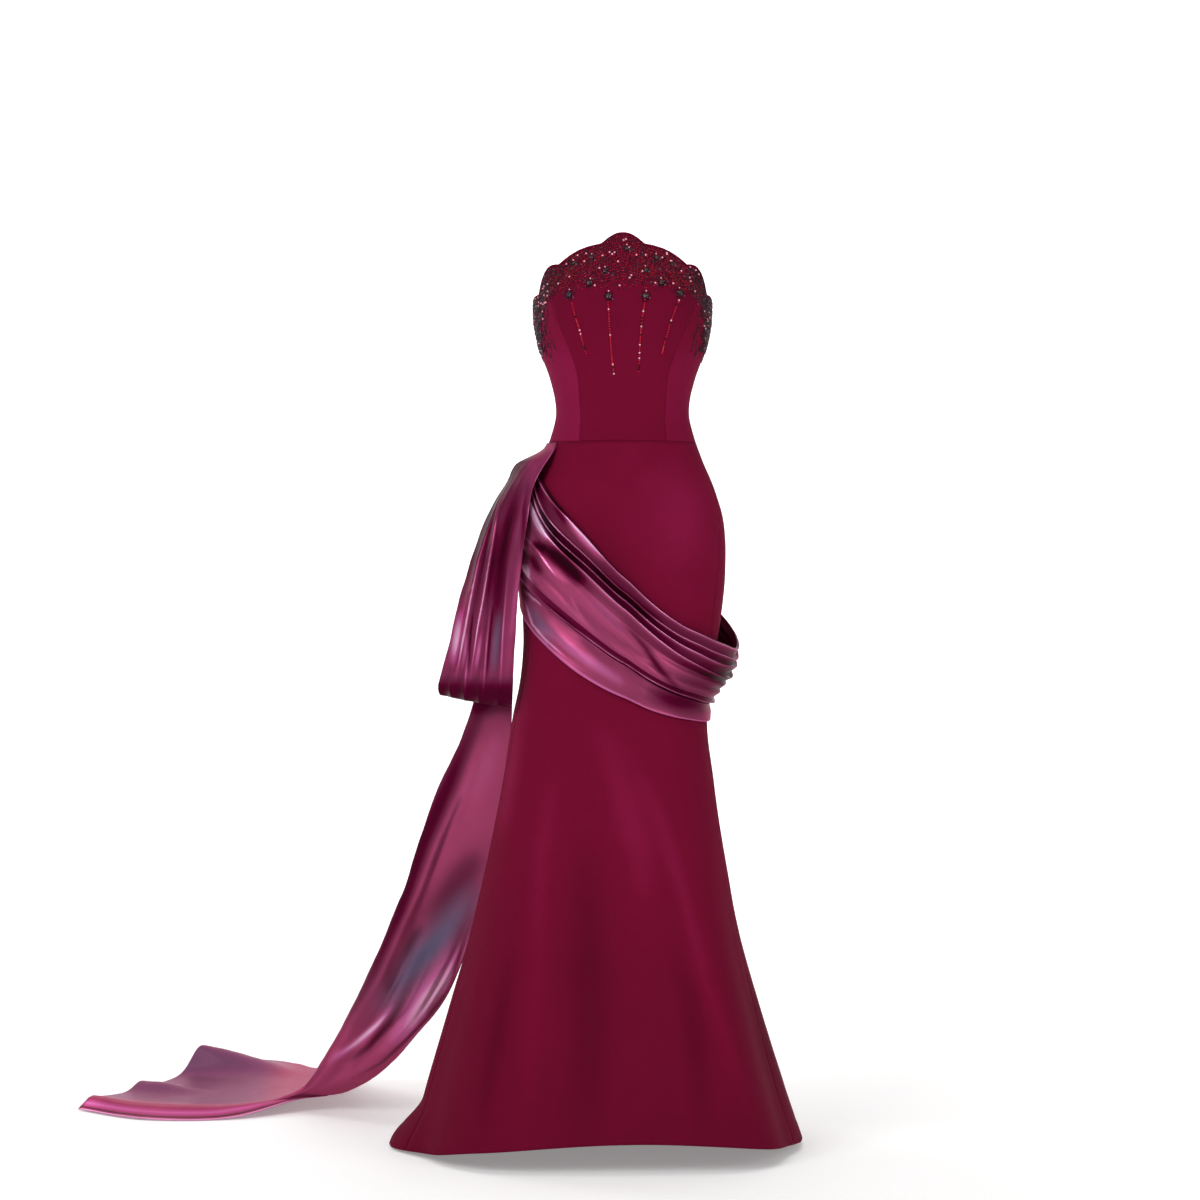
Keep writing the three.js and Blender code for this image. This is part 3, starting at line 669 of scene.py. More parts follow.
# Soft folds and drags of the skirt, set down in the same way.
SKIRT_CREASES = {
    "front": [
        (22, 1.6, [(-40, -560), (-66, -760), (-96, -980), (-120, -1150)]),
        (20, -1.5, [(-6, -600), (-14, -800), (-30, -1000), (-40, -1150)]),
        (24, 1.7, [(44, -560), (58, -760), (84, -960), (104, -1150)]),
        (18, -1.3, [(78, -640), (104, -820), (140, -1010), (170, -1150)]),
        (16, 1.2, [(106, -640), (140, -840), (186, -1040), (214, -1150)]),
        (18, -1.4, [(-96, -600), (-130, -800), (-178, -1000), (-214, -1160)]),
        (15, 1.1, [(-128, -620), (-172, -830), (-222, -1030), (-262, -1165)]),
        (12, -0.9, [(-88, -66), (-60, -84), (-30, -92)]),
        (11, -0.8, [(92, -62), (66, -82), (34, -91)]),
        (14, 0.8, [(118, -120), (88, -136), (58, -138)]),
        (13, -0.9, [(134, -196), (104, -214), (72, -216), (46, -210)]),
        (12, 0.7, [(140, -250), (112, -268), (80, -272)]),
        (15, -1.0, [(-30, -500), (6, -520), (50, -524), (86, -512)]),
        (13, 0.8, [(-78, -486), (-50, -512), (-18, -524)]),
        (10, -0.6, [(24, -100), (30, -150), (34, -200)]),
        (16, 0.9, [(-120, -480), (-140, -600), (-158, -720)]),
    ],
    "back": [
        (22, -1.8, [(20, -420), (30, -640), (44, -860), (56, -1120)]),
        (20, 1.6, [(-40, -460), (-64, -700), (-92, -940), (-112, -1150)]),
        (20, 1.5, [(78, -480), (112, -700), (152, -930), (180, -1140)]),
        (18, -1.4, [(-96, -500), (-136, -720), (-184, -960), (-214, -1150)]),
        (16, -1.2, [(128, -540), (166, -760), (210, -980), (238, -1150)]),
        (14, 1.1, [(-140, -560), (-186, -780), (-236, -1000), (-266, -1150)]),
        (12, -1.0, [(-100, -70), (-66, -92), (-30, -100)]),
        (12, -1.1, [(98, -74), (64, -96), (26, -102)]),
        (13, 0.9, [(-120, -150), (-84, -166), (-46, -170)]),
        (12, -0.9, [(116, -176), (82, -196), (44, -204)]),
        (14, -1.1, [(-120, -404), (-70, -428), (-16, -434), (40, -424)]),
        (12, 0.8, [(110, -430), (64, -450), (18, -456)]),
    ],
    "left": [
        (18, -1.3, [(20, -520), (26, -760), (40, -980), (50, -1140)]),
        (15, 1.1, [(-30, -560), (-44, -780), (-60, -1000)]),
    ],
    "right": [
        (18, -1.2, [(24, -540), (36, -760), (50, -980), (64, -1140)]),
        (14, 1.0, [(-26, -560), (-40, -780), (-54, -1000)]),
        (12, -0.8, [(-20, -130), (10, -150), (50, -158)]),
    ],
}


# Painted highlights (above 0) and painted shade (below 0) in soft bands down the skirt, placed as
# the folds are.
SKIRT_PAINTED_LIGHT = {
    "front": [
        (17, 0.18, [(-104, -554), (-131, -712), (-135, -870), (-147, -1028), (-156, -1150)]),
        (32, -0.3, [(-70, -640), (-60, -744), (-52, -934), (-60, -1150)]),
        (15, 0.24, [(20, -560), (58, -649), (98, -776), (129, -902), (169, -1013), (214, -1130)]),
        (18, -0.26, [(80, -860), (105, -934), (118, -1028), (124, -1140)]),
        (24, 0.2, [(-36, -500), (2, -618), (26, -697), (34, -820)]),
        (13, -0.24, [(-176, -860), (-192, -950), (-212, -1060), (-224, -1140)]),
        (12, 0.26, [(-160, -460), (-180, -586), (-200, -700)]),
        (46, 0.22, [(40, -80), (96, -150), (100, -260)]),
        (24, -0.2, [(-70, -150), (-20, -220), (30, -300)]),
        (14, -0.24, [(200, -900), (230, -1000), (262, -1120)]),
    ],
    "back": [
        (22, 0.3, [(-70, -480), (-100, -760), (-130, -1100)]),
        (22, -0.3, [(20, -480), (34, -760), (50, -1100)]),
        (22, 0.3, [(100, -480), (140, -760), (180, -1100)]),
    ],
}


SKIRT_ROWS = 150
# How far up the inside the hem is turned, in mm.
HEM_TURN = 30


def waist_below(angle):
    return WAIST_SEAM - SEAM_GAP / 2 + 0 * np.asarray(angle)


def make_skirt(gown):
    """A front and two backs of crepe, close to the hips and flared to the ground."""
    crepe = crepe_material(gown)
    side, back = SIDE_SEAM, centre_back
    panels = [
        ("skirt_front", mirrored(side), side, 116, (0.7, 1.2), 0.58),
        ("skirt_back_left", mirrored(back), mirrored(side), 88, (0.68, 1.24), 0.49),
        ("skirt_back_right", side, back, 88, (0.62, 1.24), 0.45),
    ]

    def fine(points, u, v):
        out = seam_trough(points, u, 0.6, 3.0)
        out += ripple(points, 5, 160, 0.5) + ripple(points, 6, 60, 0.12)
        # The hem is turned up and blind-stitched, which leaves a faint line.
        hem = points[..., 2] - points[-1:, :, 2]
        out += -0.35 * bell(hem - HEM_TURN, 2.4) + 0.25 * ease(HEM_TURN, HEM_TURN - 4, hem)
        return out + crease_relief(points, SKIRT_CREASES)

    def tones(points, u, v):
        # The painted tone is a little darker below the hips, and more so towards the hem.
        z = points[..., 2]
        level = 0.44 - 0.04 * ease(-300, -500, z) - 0.2 * ease(-620, -1100, z)
        return {"nap": np.clip(level + crease_relief(points, SKIRT_PAINTED_LIGHT), 0, 1)}

    for name, low, high, columns, flat, area in panels:
        piece = cloth(
            f"{name}_crepe", (columns, SKIRT_ROWS), panel_place(low, high, waist_below, hem_at),
            fine, gown.skirt_cloth / MM, crepe, tones,
        )
        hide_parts(name)


# Sash

# The band round the gown: the heights of its two edges, and how far each stands off the skirt.
SASH = curves(("angle", "top", "bottom", "lift", "slack"), [
    (-91, -78, -292, 0.6, 0.6), (-67, -99, -338, 4, 3.5), (-45, -134, -378, 5, 4),
    (-21, -190, -423, 6, 4), (0, -262, -457, 7, 4), (13, -302, -474, 7, 4),
    (30, -336, -487, 8, 3), (48, -355, -494, 11, 3), (68, -369, -498, 20, 3),
    (90, -372, -494, 32, 3), (110, -344, -479, 34, 3), (130, -304, -455, 27, 3),
    (155, -255, -418, 14, 3), (180, -208, -382, 8, 3), (210, -160, -346, 5, 3),
    (240, -118, -316, 4, 3), (267, -82, -292, 0.6, 0.6),
])
SASH_ENDS = (-91, 267)
# Between these shares of its height the band goes over from lift to slack.
SASH_FALL = (0.28, 0.8)
# Near its ends, over this share of its length, the band lies plain where it is sewn on.
SASH_SEWN = 0.03
SASH_CLEAR = 0.5
SATIN_CLOTH = 1.3
# Angles that the lines below are stated at: the start, two places on the front left, the front,
# the side on +X, the back and the end, which is like the start.
SASH_PLACES = (-91, -64, -40, 0, 68, 180, 267)
# Pleats and troughs in turn down the band: the share of its height at the first six of those
# places, and then how far out at the start, the front, the side on +X and the back. The last is
# where a trough lies between its pleats, from 0 under the upper one to 1 over the lower one.
SASH_LINES = [
    ((0, 0, 0, 0, 0, 0), (0, 0, 0, 0), 0),
    ((0.012, 0.016, 0.02, 0.014, 0.016, 0.014), (3, 4, 4, 3), 0),
    ((0.07, 0.06, 0.08, 0.075, 0.1, 0.08), (-1, -2, -1, -1), 0.86),
    ((0.04, 0.07, 0.14, 0.13, 0.14, 0.12), (5, 6, 6, 5), 0),
    ((0.05, 0.09, 0.17, 0.165, 0.21, 0.165), (-1, -2, -1, -1), 0.8),
    ((0.07, 0.11, 0.2, 0.195, 0.25, 0.19), (5, 6, 6, 5), 0),
    ((0.08, 0.13, 0.22, 0.235, 0.34, 0.25), (-1, -2, -1, -1), 0.8),
    ((0.1, 0.155, 0.245, 0.27, 0.4, 0.3), (5, 7, 7, 6), 0),
    ((0.3, 0.32, 0.36, 0.38, 0.46, 0.38), (1, 1, 1, 1), 0.6),
    ((0.42, 0.43, 0.45, 0.47, 0.51, 0.46), (4, 3, 5, 4), 0),
    ((0.5, 0.51, 0.53, 0.55, 0.56, 0.54), (0, 1, 1, 0), 0.5),
    ((0.6, 0.6, 0.61, 0.62, 0.63, 0.62), (4, 3, 5, 4), 0),
    ((0.65, 0.65, 0.66, 0.665, 0.69, 0.67), (2, 2, 2, 2), 0.5),
    ((0.71, 0.71, 0.713, 0.715, 0.76, 0.72), (6, 7, 7, 6), 0),
    ((0.75, 0.75, 0.753, 0.755, 0.81, 0.77), (-2, -2, -2, -2), 0.12),
    ((0.87, 0.87, 0.87, 0.87, 0.9, 0.88), (2, 2.4, 2, 2), 0),
    ((1, 1, 1, 1, 1, 1), (1.6, 1.6, 1.6, 1.6), 0),
]
# Lines that are the thin folded edges of pleats, and the soft swells in between.
SASH_EDGES = (1, 3, 5, 7, 13)
SASH_ROWS_EACH = 9
# Soft creases in the smooth middle of the band and on its lower tier.
SASH_CREASES = {
    "front": [
        (5, 2.2, [(-112, -261), (-98, -279), (-87, -296), (-72, -317), (-47, -354)]),
        (10, -1.3, [(-118, -218), (-100, -238), (-80, -262), (-62, -284)]),
        (8, 2.6, [(-142, -150), (-138, -176), (-128, -198), (-112, -214)]),
        (7, -2.0, [(-146, -226), (-138, -244)]),
        (6, -2.4, [(0, -338), (36, -379), (60, -414), (92, -446)]),
        (3, 1.0, [(-6, -360), (4, -370)]),
        (3, 1.2, [(2, -375), (12, -376)]),
        (6, -1.2, [(-60, -318), (-34, -352), (-6, -386), (26, -420)]),
        (6, 1.2, [(-30, -300), (0, -332), (30, -366)]),
        (7, -1.4, [(-130, -350), (-96, -384), (-60, -412)]),
        (6, 1.2, [(-80, -356), (-40, -396), (0, -424)]),
        (5, 1.0, [(-40, -432), (0, -456), (44, -470)]),
    ],
    "right": [
        (6, -1.8, [(-60, -400), (-20, -420), (30, -424)]),
        (6, 1.6, [(-40, -440), (0, -452), (50, -450)]),
    ],
    "back": [
        (6, -1.8, [(120, -380), (70, -352), (10, -316), (-40, -280)]),
        (5, 1.6, [(130, -420), (80, -400), (24, -362), (-30, -320)]),
        (6, -1.6, [(60, -408), (0, -376), (-60, -330), (-100, -290)]),
        (4, 1.2, [(-70, -230), (-100, -210), (-130, -180)]),
        (4, -1.2, [(-60, -262), (-96, -240), (-130, -214)]),
    ],
}
SASH_CRESTS = {
    "front": [
        (1.6, 1.2, [(-168, -194), (-154, -204), (-146, -213), (-138, -223), (-125, -244),
            (-112, -261), (-100, -276)]),
        (1.4, 1.4, [(-152, -205), (-144, -204)]),
        (1.2, -1.6, [(-146, -283), (-138, -287)]),
        (1.6, 1.2, [(-20, -356), (8, -384), (34, -410)]),
    ],
    "back": [
        (1.8, 1.8, [(90, -364), (40, -336), (-14, -300)]),
        (1.8, 1.6, [(-40, -250), (-84, -222), (-124, -190)]),
    ],
}
# Painted highlights (above 0) and painted shade (below 0) on the satin, placed as the creases are.
SASH_TONES = {
    "front": [
        (11, 0.62, [(-146, -134), (-141, -160), (-132, -184), (-118, -208)]),
        (5, -0.5, [(-134, -150), (-120, -182), (-104, -208)]),
        (13, -0.66, [(-134, -218), (-114, -228), (-94, -242), (-78, -260), (-60, -280)]),
        (7, -0.6, [(-148, -208), (-138, -214), (-122, -224)]),
        (8, -0.5, [(-150, -222), (-140, -246), (-128, -262)]),
        (1.6, 0.44, [(-168, -194), (-154, -204), (-138, -222), (-124, -241), (-106, -266)]),
        (2.4, -0.4, [(-162, -276), (-150, -286), (-132, -302), (-96, -330), (-50, -368)]),
        (1.8, 0.5, [(-162, -284), (-148, -296), (-128, -312)]),
        (1.8, 0.4, [(-158, -302), (-146, -340), (-122, -368), (-92, -392)]),
        (7, 0.5, [(-156, -240), (-156, -266), (-146, -282)]),
        (9, 0.04, [(-114, -262), (-98, -280), (-82, -306), (-60, -340), (-44, -356)]),
        (9, 0.14, [(-60, -278), (-36, -306), (-10, -330), (16, -356)]),
        (10, -0.1, [(-124, -322), (-102, -344), (-76, -366), (-44, -386)]),
        (9, 0.14, [(-124, -340), (-100, -364), (-64, -392), (-24, -418), (10, -440)]),
        (6, 0.42, [(-92, -168), (-82, -182), (-66, -203), (-44, -226), (-26, -242)]),
        (5, -0.5, [(-122, -124), (-106, -152), (-88, -182)]),
        (5, -0.5, [(-48, -248), (-16, -280), (24, -312), (60, -338)]),
        (5, 0.12, [(-72, -237), (-44, -272), (-14, -306)]),
        (5, -0.42, [(0, -338), (36, -379), (60, -414), (92, -446)]),
        (10, 0.08, [(-150, -306), (-142, -338), (-110, -372)]),
        (15, -0.45, [(30, -448), (80, -466), (140, -480)]),
    ],
    "right": [
        (30, -0.42, [(-120, -430), (-40, -430), (60, -430)]),
    ],
    "back": [
        (9, 0.2, [(120, -350), (60, -322), (0, -286), (-60, -246)]),
        (7, -0.45, [(130, -400), (60, -372), (-10, -334), (-70, -296)]),
        (10, 0.16, [(100, -440), (30, -412), (-50, -366), (-110, -322)]),
        (8, -0.4, [(-40, -214), (-90, -180), (-140, -140)]),
    ],
}


# Painted blue sheen where the floats turn.
SASH_SHEEN = {
    "front": [
        (9, 0.7, [(-152, -302), (-144, -322), (-130, -344), (-108, -366)]),
        (10, 0.34, [(-142, -150), (-132, -180), (-116, -206)]),
    ],
}


# The painted tone of plain cloth, how much painted shade darkens it under a thin edge and in a
# soft trough, and how much a painted highlight lightens a thin edge and the hem. The hem begins at
# this share of the band's height.
SASH_LIGHT = {
    "plain": 0.74, "wide gap": 0.25, "narrow gap": 0.62, "trough": 0.1, "edge": 0.36, "hem": 0.22,
}
SASH_HEM = 0.985


def sash_profile(u, v):
    """The angle, share of height and stand-off down the band, and the painted light and shade of
    each place.
    """
    angles = mix(SASH_ENDS[0], SASH_ENDS[1], u[0])
    at = np.array([curve(SASH_PLACES, [*line[0], line[0][0]])(angles) for line in SASH_LINES])
    out = np.array([
        curve(SASH_PLACES, (start, start, front, front, side, back, start))(angles)
        for _, (start, front, side, back), _ in SASH_LINES
    ])
    last = len(SASH_LINES) - 2
    for k in range(2, last, 2):
        at[k] = mix(at[k - 1], at[k + 1], SASH_LINES[k][2])
    line = v[:, 0] * (last + 1)
    k = np.minimum(np.floor(line).astype(int), last)
    t = (line - k)[:, None]
    odd = k % 2 == 1
    falls = odd[:, None]
    edged = np.isin(np.where(odd, k, k + 1), SASH_EDGES)[:, None]
    # Towards the thin edge of a pleat the cloth rises ever more steeply, and over a swell softly.
    near = np.where(falls, 1 - t, t)
    rise = np.where(edged, mix(near, near ** 2.4, 0.7), ease(0, 1, near))
    crest = np.where(falls, out[k], out[k + 1])
    trough = np.where(falls, out[k + 1], out[k])
    share = mix(at[k], at[k + 1], t)
    # Narrow gaps between thin edges get painted shade, and the edges themselves a painted glint.
    gap = np.abs(at[np.minimum(k + 1, last + 1)] - at[np.maximum(k - 1, 0)])
    light = SASH_LIGHT
    under = mix(light["wide gap"], light["narrow gap"], 1 - ease(0.05, 0.16, gap))
    dark = np.where(edged, (1 - near ** 6) * under, light["trough"] * (1 - near))
    glint = np.where(edged, light["edge"] * near ** 9, 0)
    tone = light["plain"] - dark + glint + light["hem"] * (share > SASH_HEM)
    return np.broadcast_to(angles, u.shape), share, mix(trough, crest, rise), tone


def make_sash(gown):
    """The pleated satin band wrapped low round the hips."""
    satin = satin_material(gown, "Plum satin, sash", tuple(gown.satin_colour), BLUE_SHEEN)

    def place(u, v):
        angle, share, stand, _ = sash_profile(u, v)
        off = mix(SASH["lift"](angle), SASH["slack"](angle), ease(*SASH_FALL, share))
        free = ease(0, SASH_SEWN, np.minimum(u, 1 - u))
        z = mix(SASH["top"](angle), SASH["bottom"](angle), share)
        out = np.maximum(off + SATIN_CLOTH + stand * free, SATIN_CLOTH + SASH_CLEAR)
        return layered(angle, z, out)

    def fine(points, u, v):
        free = ease(0, SASH_SEWN, np.minimum(u, 1 - u))
        creases = crease_relief(points, SASH_CREASES)
        creases += crease_relief(points, SASH_CRESTS, sharp=True)
        return free * (creases + ripple(points, 11, 46, 0.3))

    def tones(points, u, v):
        tone = sash_profile(u, v)[3] + crease_relief(points, SASH_TONES)
        return {"fold": np.clip(tone, 0, 1), "twist": crease_relief(points, SASH_SHEEN)}

    rows = SASH_ROWS_EACH * (len(SASH_LINES) - 1)
    piece = cloth(
        "sash_satin", (300, rows), place, fine, gown.satin_cloth / MM, satin, tones,
    )
    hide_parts("sash")


# Loop

# The inner and the outer edge of the loop's front layer, and then of its back layer, by height.
LOOP_FRONT = curves(("z", "inX", "inY", "outX", "outY"), [
    (-48, -103, -62, -126, -23), (-75, -121, -68, -168, -16), (-110, -140, -72, -189, -8),
    (-166, -152, -77, -221, -4), (-228, -160, -79, -244, 0), (-293, -167, -76, -264, 5),
    (-364, -171, -70, -279, 8), (-440, -176, -60, -299, 10),
])
LOOP_BACK = curves(("z", "inX", "inY", "outX", "outY"), [
    (-48, -101, -58, -121, -23), (-75, -126, -54, -160, 3), (-110, -156, -46, -184, 24),
    (-166, -181, -32, -210, 42), (-228, -188, -30, -230, 50), (-293, -190, -28, -248, 54),
    (-364, -192, -27, -265, 50), (-440, -190, -32, -290, 36),
])
LOOP = {"top": -48, "foot_in": -462, "foot_out": -444, "drop": 14, "belly": 12, "pleat": 9}
LOOP_RIDGES = (0, 0.19, 0.4, 0.6, 0.84, 1)
# Where the loop is sewn on: angles of its two edges, how far out its layers are, and how far down
# it is drawn in.
LOOP_SEAT = {"from": -84, "to": -59, "front_out": 3.9, "back_out": 0.6, "reach": 34}
# The lines of the two main pleats down the front of the loop.
OUTER_PLEAT = [
    (-198, -132), (-208, -160), (-219, -188), (-234, -237), (-244, -285), (-253, -334),
    (-262, -382), (-271, -431),
]
INNER_PLEAT = [
    (-196, -134), (-205, -172), (-211, -213), (-218, -253), (-226, -302), (-234, -342),
    (-240, -382), (-247, -431),
]
# Sharp crests of the pleats, then soft folds, as seen from the front and from behind.
LOOP_CRESTS = {
    "front": [
        (2.2, 5.4, OUTER_PLEAT),
        (2.0, 5.0, INNER_PLEAT),
        (1.8, 4.0, [(-207, -240), (-213, -302), (-219, -366), (-224, -431), (-226, -458)]),
        (1.8, 3.0, [(-236, -330), (-248, -378), (-254, -420), (-256, -456)]),
        (1.8, 2.6, [(-252, -350), (-262, -396), (-282, -440)]),
        (2.0, 3.4, [(-166, -130), (-178, -190), (-184, -237), (-189, -302), (-194, -366),
            (-197, -440)]),
        (2.0, 3.0, [(-106, -52), (-138, -108), (-150, -156), (-155, -205)]),
    ],
    "back": [
        (3.0, 3.4, [(-176, -140), (-196, -220), (-206, -310), (-214, -430)]),
        (3.0, 3.0, [(-190, -150), (-216, -230), (-234, -320), (-246, -440)]),
        (3.0, 2.6, [(-206, -280), (-226, -360), (-232, -440)]),
    ],
}
LOOP_CREASES = {
    "front": [
        (8, 3.0, [(-160, -190), (-172, -276), (-180, -350), (-182, -420)]),
        (7, -3.6, [(-172, -108), (-188, -174), (-196, -253), (-203, -330), (-208, -420)]),
        (5, -3.2, [(-204, -178), (-213, -240), (-221, -300), (-228, -360), (-232, -430)]),
        (6, -2.6, [(-212, -170), (-226, -225), (-238, -280), (-246, -330)]),
        (9, 2.6, [(-258, -311), (-268, -350), (-278, -400)]),
        (6, 1.6, [(-164, -84), (-150, -74), (-134, -62)]),
        (5, -1.8, [(-146, -96), (-134, -80), (-124, -66)]),
    ],
    "back": [
        (8, -3.0, [(-184, -160), (-206, -250), (-222, -360)]),
        (8, 2.4, [(-200, -160), (-238, -280), (-262, -400)]),
    ],
}
# Painted highlights (above 0) and painted shade (below 0) on the loop, placed as the creases are.
LOOP_TONES = {
    "front": [
        (8, 0.18, [(-150, -190), (-164, -240), (-174, -301), (-180, -366), (-182, -425)]),
        (10, 0.2, [(-126, -56), (-142, -84), (-158, -120), (-168, -160)]),
        (11, -0.52, [(-150, -96), (-168, -130), (-184, -180), (-197, -240), (-203, -310),
            (-206, -350)]),
        (4, -0.3, [(-150, -100), (-158, -150), (-160, -200), (-164, -250)]),
        (13, -0.55, [(-134, -18), (-156, -56), (-175, -88), (-196, -122), (-214, -160),
            (-230, -198), (-243, -242), (-254, -288)]),
        (5, -0.3, [(-210, -180), (-224, -240), (-235, -290), (-242, -326)]),
        (5, -0.34, [(-200, -170), (-209, -230), (-218, -290), (-222, -320)]),
        (10, 0.42, [(-262, -310), (-270, -360), (-280, -416)]),
        (4, 0.3, [(-251, -350), (-256, -392), (-262, -424)]),
        (4, 0.3, [(-228, -350), (-234, -392), (-238, -424)]),
        (2.2, -0.6, [(-242, -318), (-247, -364), (-250, -416)]),
        (2.4, -0.5, [(-210, -312), (-215, -370), (-220, -430)]),
        (1.5, 0.6, [(-184, -104), *OUTER_PLEAT]),
        (1.5, 0.6, [(-188, -104), *INNER_PLEAT]),
        (1.5, 0.36, [(-211, -302), (-219, -366), (-224, -431), (-226, -458)]),
        (1.6, 0.36, [(-246, -366), (-254, -420), (-256, -456)]),
        (1.6, 0.36, [(-184, -250), (-189, -302), (-194, -366), (-197, -440)]),
        (2.2, 0.6, [(-106, -52), (-138, -108), (-150, -156), (-155, -205), (-158, -240)]),
    ],
    "back": [
        (10, -0.36, [(-184, -140), (-206, -250), (-222, -380)]),
        (9, 0.16, [(-200, -160), (-238, -280), (-262, -400)]),
    ],
}
# Painted blue sheen where the loop's floats turn.
LOOP_SHEEN = {"front": [(6, 0.7, [(-198, -322), (-204, -372), (-208, -420)])]}
# The loop faces the front as far back as this depth.
LOOP_MIDDLE = np.array([0, 20, 0])


def loop_scoop(u):
    """Sharp crests at the pleats' edges and broad scoops between: 0 at a crest, 1 in a scoop."""
    ridges = np.array(LOOP_RIDGES)
    k = np.clip(np.searchsorted(ridges, u, side="right") - 1, 0, len(ridges) - 2)
    t = (u - ridges[k]) / (ridges[k + 1] - ridges[k])
    return np.abs(np.sin(np.pi * t))


def seated(place, seat, u, top, out):
    """A point of hanging cloth, drawn in to the gown where it is sewn on along its top."""
    sewn = layered(mix(seat["from"], seat["to"], u), place[..., 2], out + 0 * u)
    return mix(sewn, place, ease(0, seat["reach"], top - place[..., 2])[..., None])


def loop_layer(plan, u, z, belly, pleat, sewn_out):
    """A place on one layer of the loop, rounded out by its belly and its pleats."""
    inner = np.stack([plan["inX"](z), plan["inY"](z), z], axis=-1)
    outer = np.stack([plan["outX"](z), plan["outY"](z), z], axis=-1)
    place = mix(inner, outer, (1 - u)[..., None])
    side = unit(inner - outer)
    out = np.stack([side[..., 1], -side[..., 0], 0 * z], axis=-1)
    depth = ease(LOOP["top"], -140, z)
    pleated = pleat * mix(0.06, 0.5, ease(-260, -440, z))
    swell = depth * (belly * np.sin(np.pi * u) + pleated * (1 - loop_scoop(u)))
    return seated(place + out * swell[..., None], LOOP_SEAT, u, LOOP["top"], sewn_out)


def loop_place(u, v):
    """A place on the loop: v goes to 1 down its front, to 2 round its foot, to 3 up its back."""
    foot = mix(LOOP["foot_out"], LOOP["foot_in"], u)
    seat, pleat = LOOP_SEAT, LOOP["pleat"]
    front = lambda z: loop_layer(LOOP_FRONT, u, z, LOOP["belly"], pleat, seat["front_out"])
    back = lambda z: loop_layer(LOOP_BACK, u, z, 0, pleat / 3, seat["back_out"])
    down = front(mix(LOOP["top"], foot, np.clip(v, 0, 1)))
    up = back(mix(foot, LOOP["top"], np.clip(v - 2, 0, 1)))
    turn = np.pi * np.clip(v - 1, 0, 1)
    across = mix(front(foot), back(foot), ((1 - np.cos(turn)) / 2)[..., None])
    across[..., 2] -= LOOP["drop"] * np.sin(turn)
    part = v[..., None]
    return np.where(part <= 1, down, np.where(part >= 2, up, across))


# Share of the loop's rows given to its front, to the turn at its foot and to its back.
LOOP_ROWS = ((0, 0.5, 0.62, 1), (0, 1, 2, 3))


def make_loop(gown):
    """The pleated loop that falls from the waist seam, turns at its foot and goes up behind."""
    satin = satin_material(gown, "Plum satin, loop", tuple(gown.loop_colour), BLUE_SHEEN)

    def place(u, v):
        across = np.interp(u, np.linspace(0, 1, len(LOOP_RIDGES)), LOOP_RIDGES)
        return loop_place(across, np.interp(v, *LOOP_ROWS))

    def fine(points, u, v):
        free = ease(0, 0.12, np.minimum(v, 1 - v))
        placed = points - LOOP_MIDDLE
        creases = crease_relief(placed, LOOP_CREASES)
        creases += crease_relief(placed, LOOP_CRESTS, sharp=True)
        return free * (creases + ripple(points, 21, 50, 0.5))

    def tones(points, u, v):
        placed = points - LOOP_MIDDLE
        # The foot of the loop turns under, out of the light.
        tone = 0.58 - 0.44 * ease(-420, -450, points[..., 2]) + crease_relief(placed, LOOP_TONES)
        return {"fold": np.clip(tone, 0, 1), "twist": crease_relief(placed, LOOP_SHEEN)}

    piece = cloth(
        "bow_loop_satin", (130, 220), place, fine, gown.satin_cloth / MM, satin, tones,
    )
    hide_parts("bow_loop")


# Train

# Places down the train from the waist to its end: its far edge, its fold and its near edge.
TRAIN_STATIONS = list(range(15))
TRAIN_FAR = [
    (-99, 58, -49), (-124, 100, -108), (-154, 134, -175), (-182, 162, -300), (-186, 198, -482),
    (-215, 268, -640), (-300, 360, -808), (-392, 490, -985), (-480, 650, -1120),
    (-560, 810, -1186), (-615, 895, -1193), (-660, 935, -1193), (-705, 950, -1193),
    (-750, 950, -1193), (-760, 930, -1193),
]
TRAIN_FOLDED = [
    (-112, 38, -49), (-162, 62, -108), (-193, 84, -175), (-224, 106, -300), (-256, 112, -482),
    (-325, 134, -640), (-383, 180, -808), (-450, 240, -961), (-514, 308, -1081),
    (-558, 346, -1148), (-598, 350, -1169), (-650, 340, -1178), (-730, 330, -1180),
    (-838, 350, -1178), (-934, 402, -1173),
]
TRAIN_NEAR = [
    (-119, 12, -49), (-163, 34, -108), (-184, 50, -175), (-190, 72, -300), (-183, 84, -482),
    (-196, 108, -640), (-235, 140, -808), (-289, 190, -960), (-351, 240, -1046),
    (-412, 312, -1116), (-482, 370, -1163), (-562, 348, -1172), (-680, 276, -1193),
    (-826, 276, -1193), (-951, 373, -1193),
]
# How flat the far side lies at each station: 1 is straight from edge to fold.
TRAIN_LIE = curve(TRAIN_STATIONS, (1, 1, 1, 1, 1, 1, 1.2, 1.6, 2.4, 3.5, 5, 6, 6, 6, 6))
# The share of the width that is behind the fold, and the half width of the fold's round.
TRAIN_FOLD = 0.66
TRAIN_ROLL = 0.07
TRAIN_SEAT = {"from": -126, "to": -97, "out": 1.9, "reach": 48}
# Ridges and troughs: share across, spread, height, and from, full and gone along its length.
TRAIN_RIDGES = [
    (0.13, 0.07, 46, 0.68, 1, None), (0.43, 0.045, 15, 0.84, 0.97, None),
    (0.8, 0.05, -16, 0.3, 0.52, 0.72), (0.92, 0.05, 12, 0.36, 0.52, 0.72),
    (0.3, 0.07, 10, 0.1, 0.25, 0.6), (0.48, 0.06, -8, 0.1, 0.25, 0.6),
]
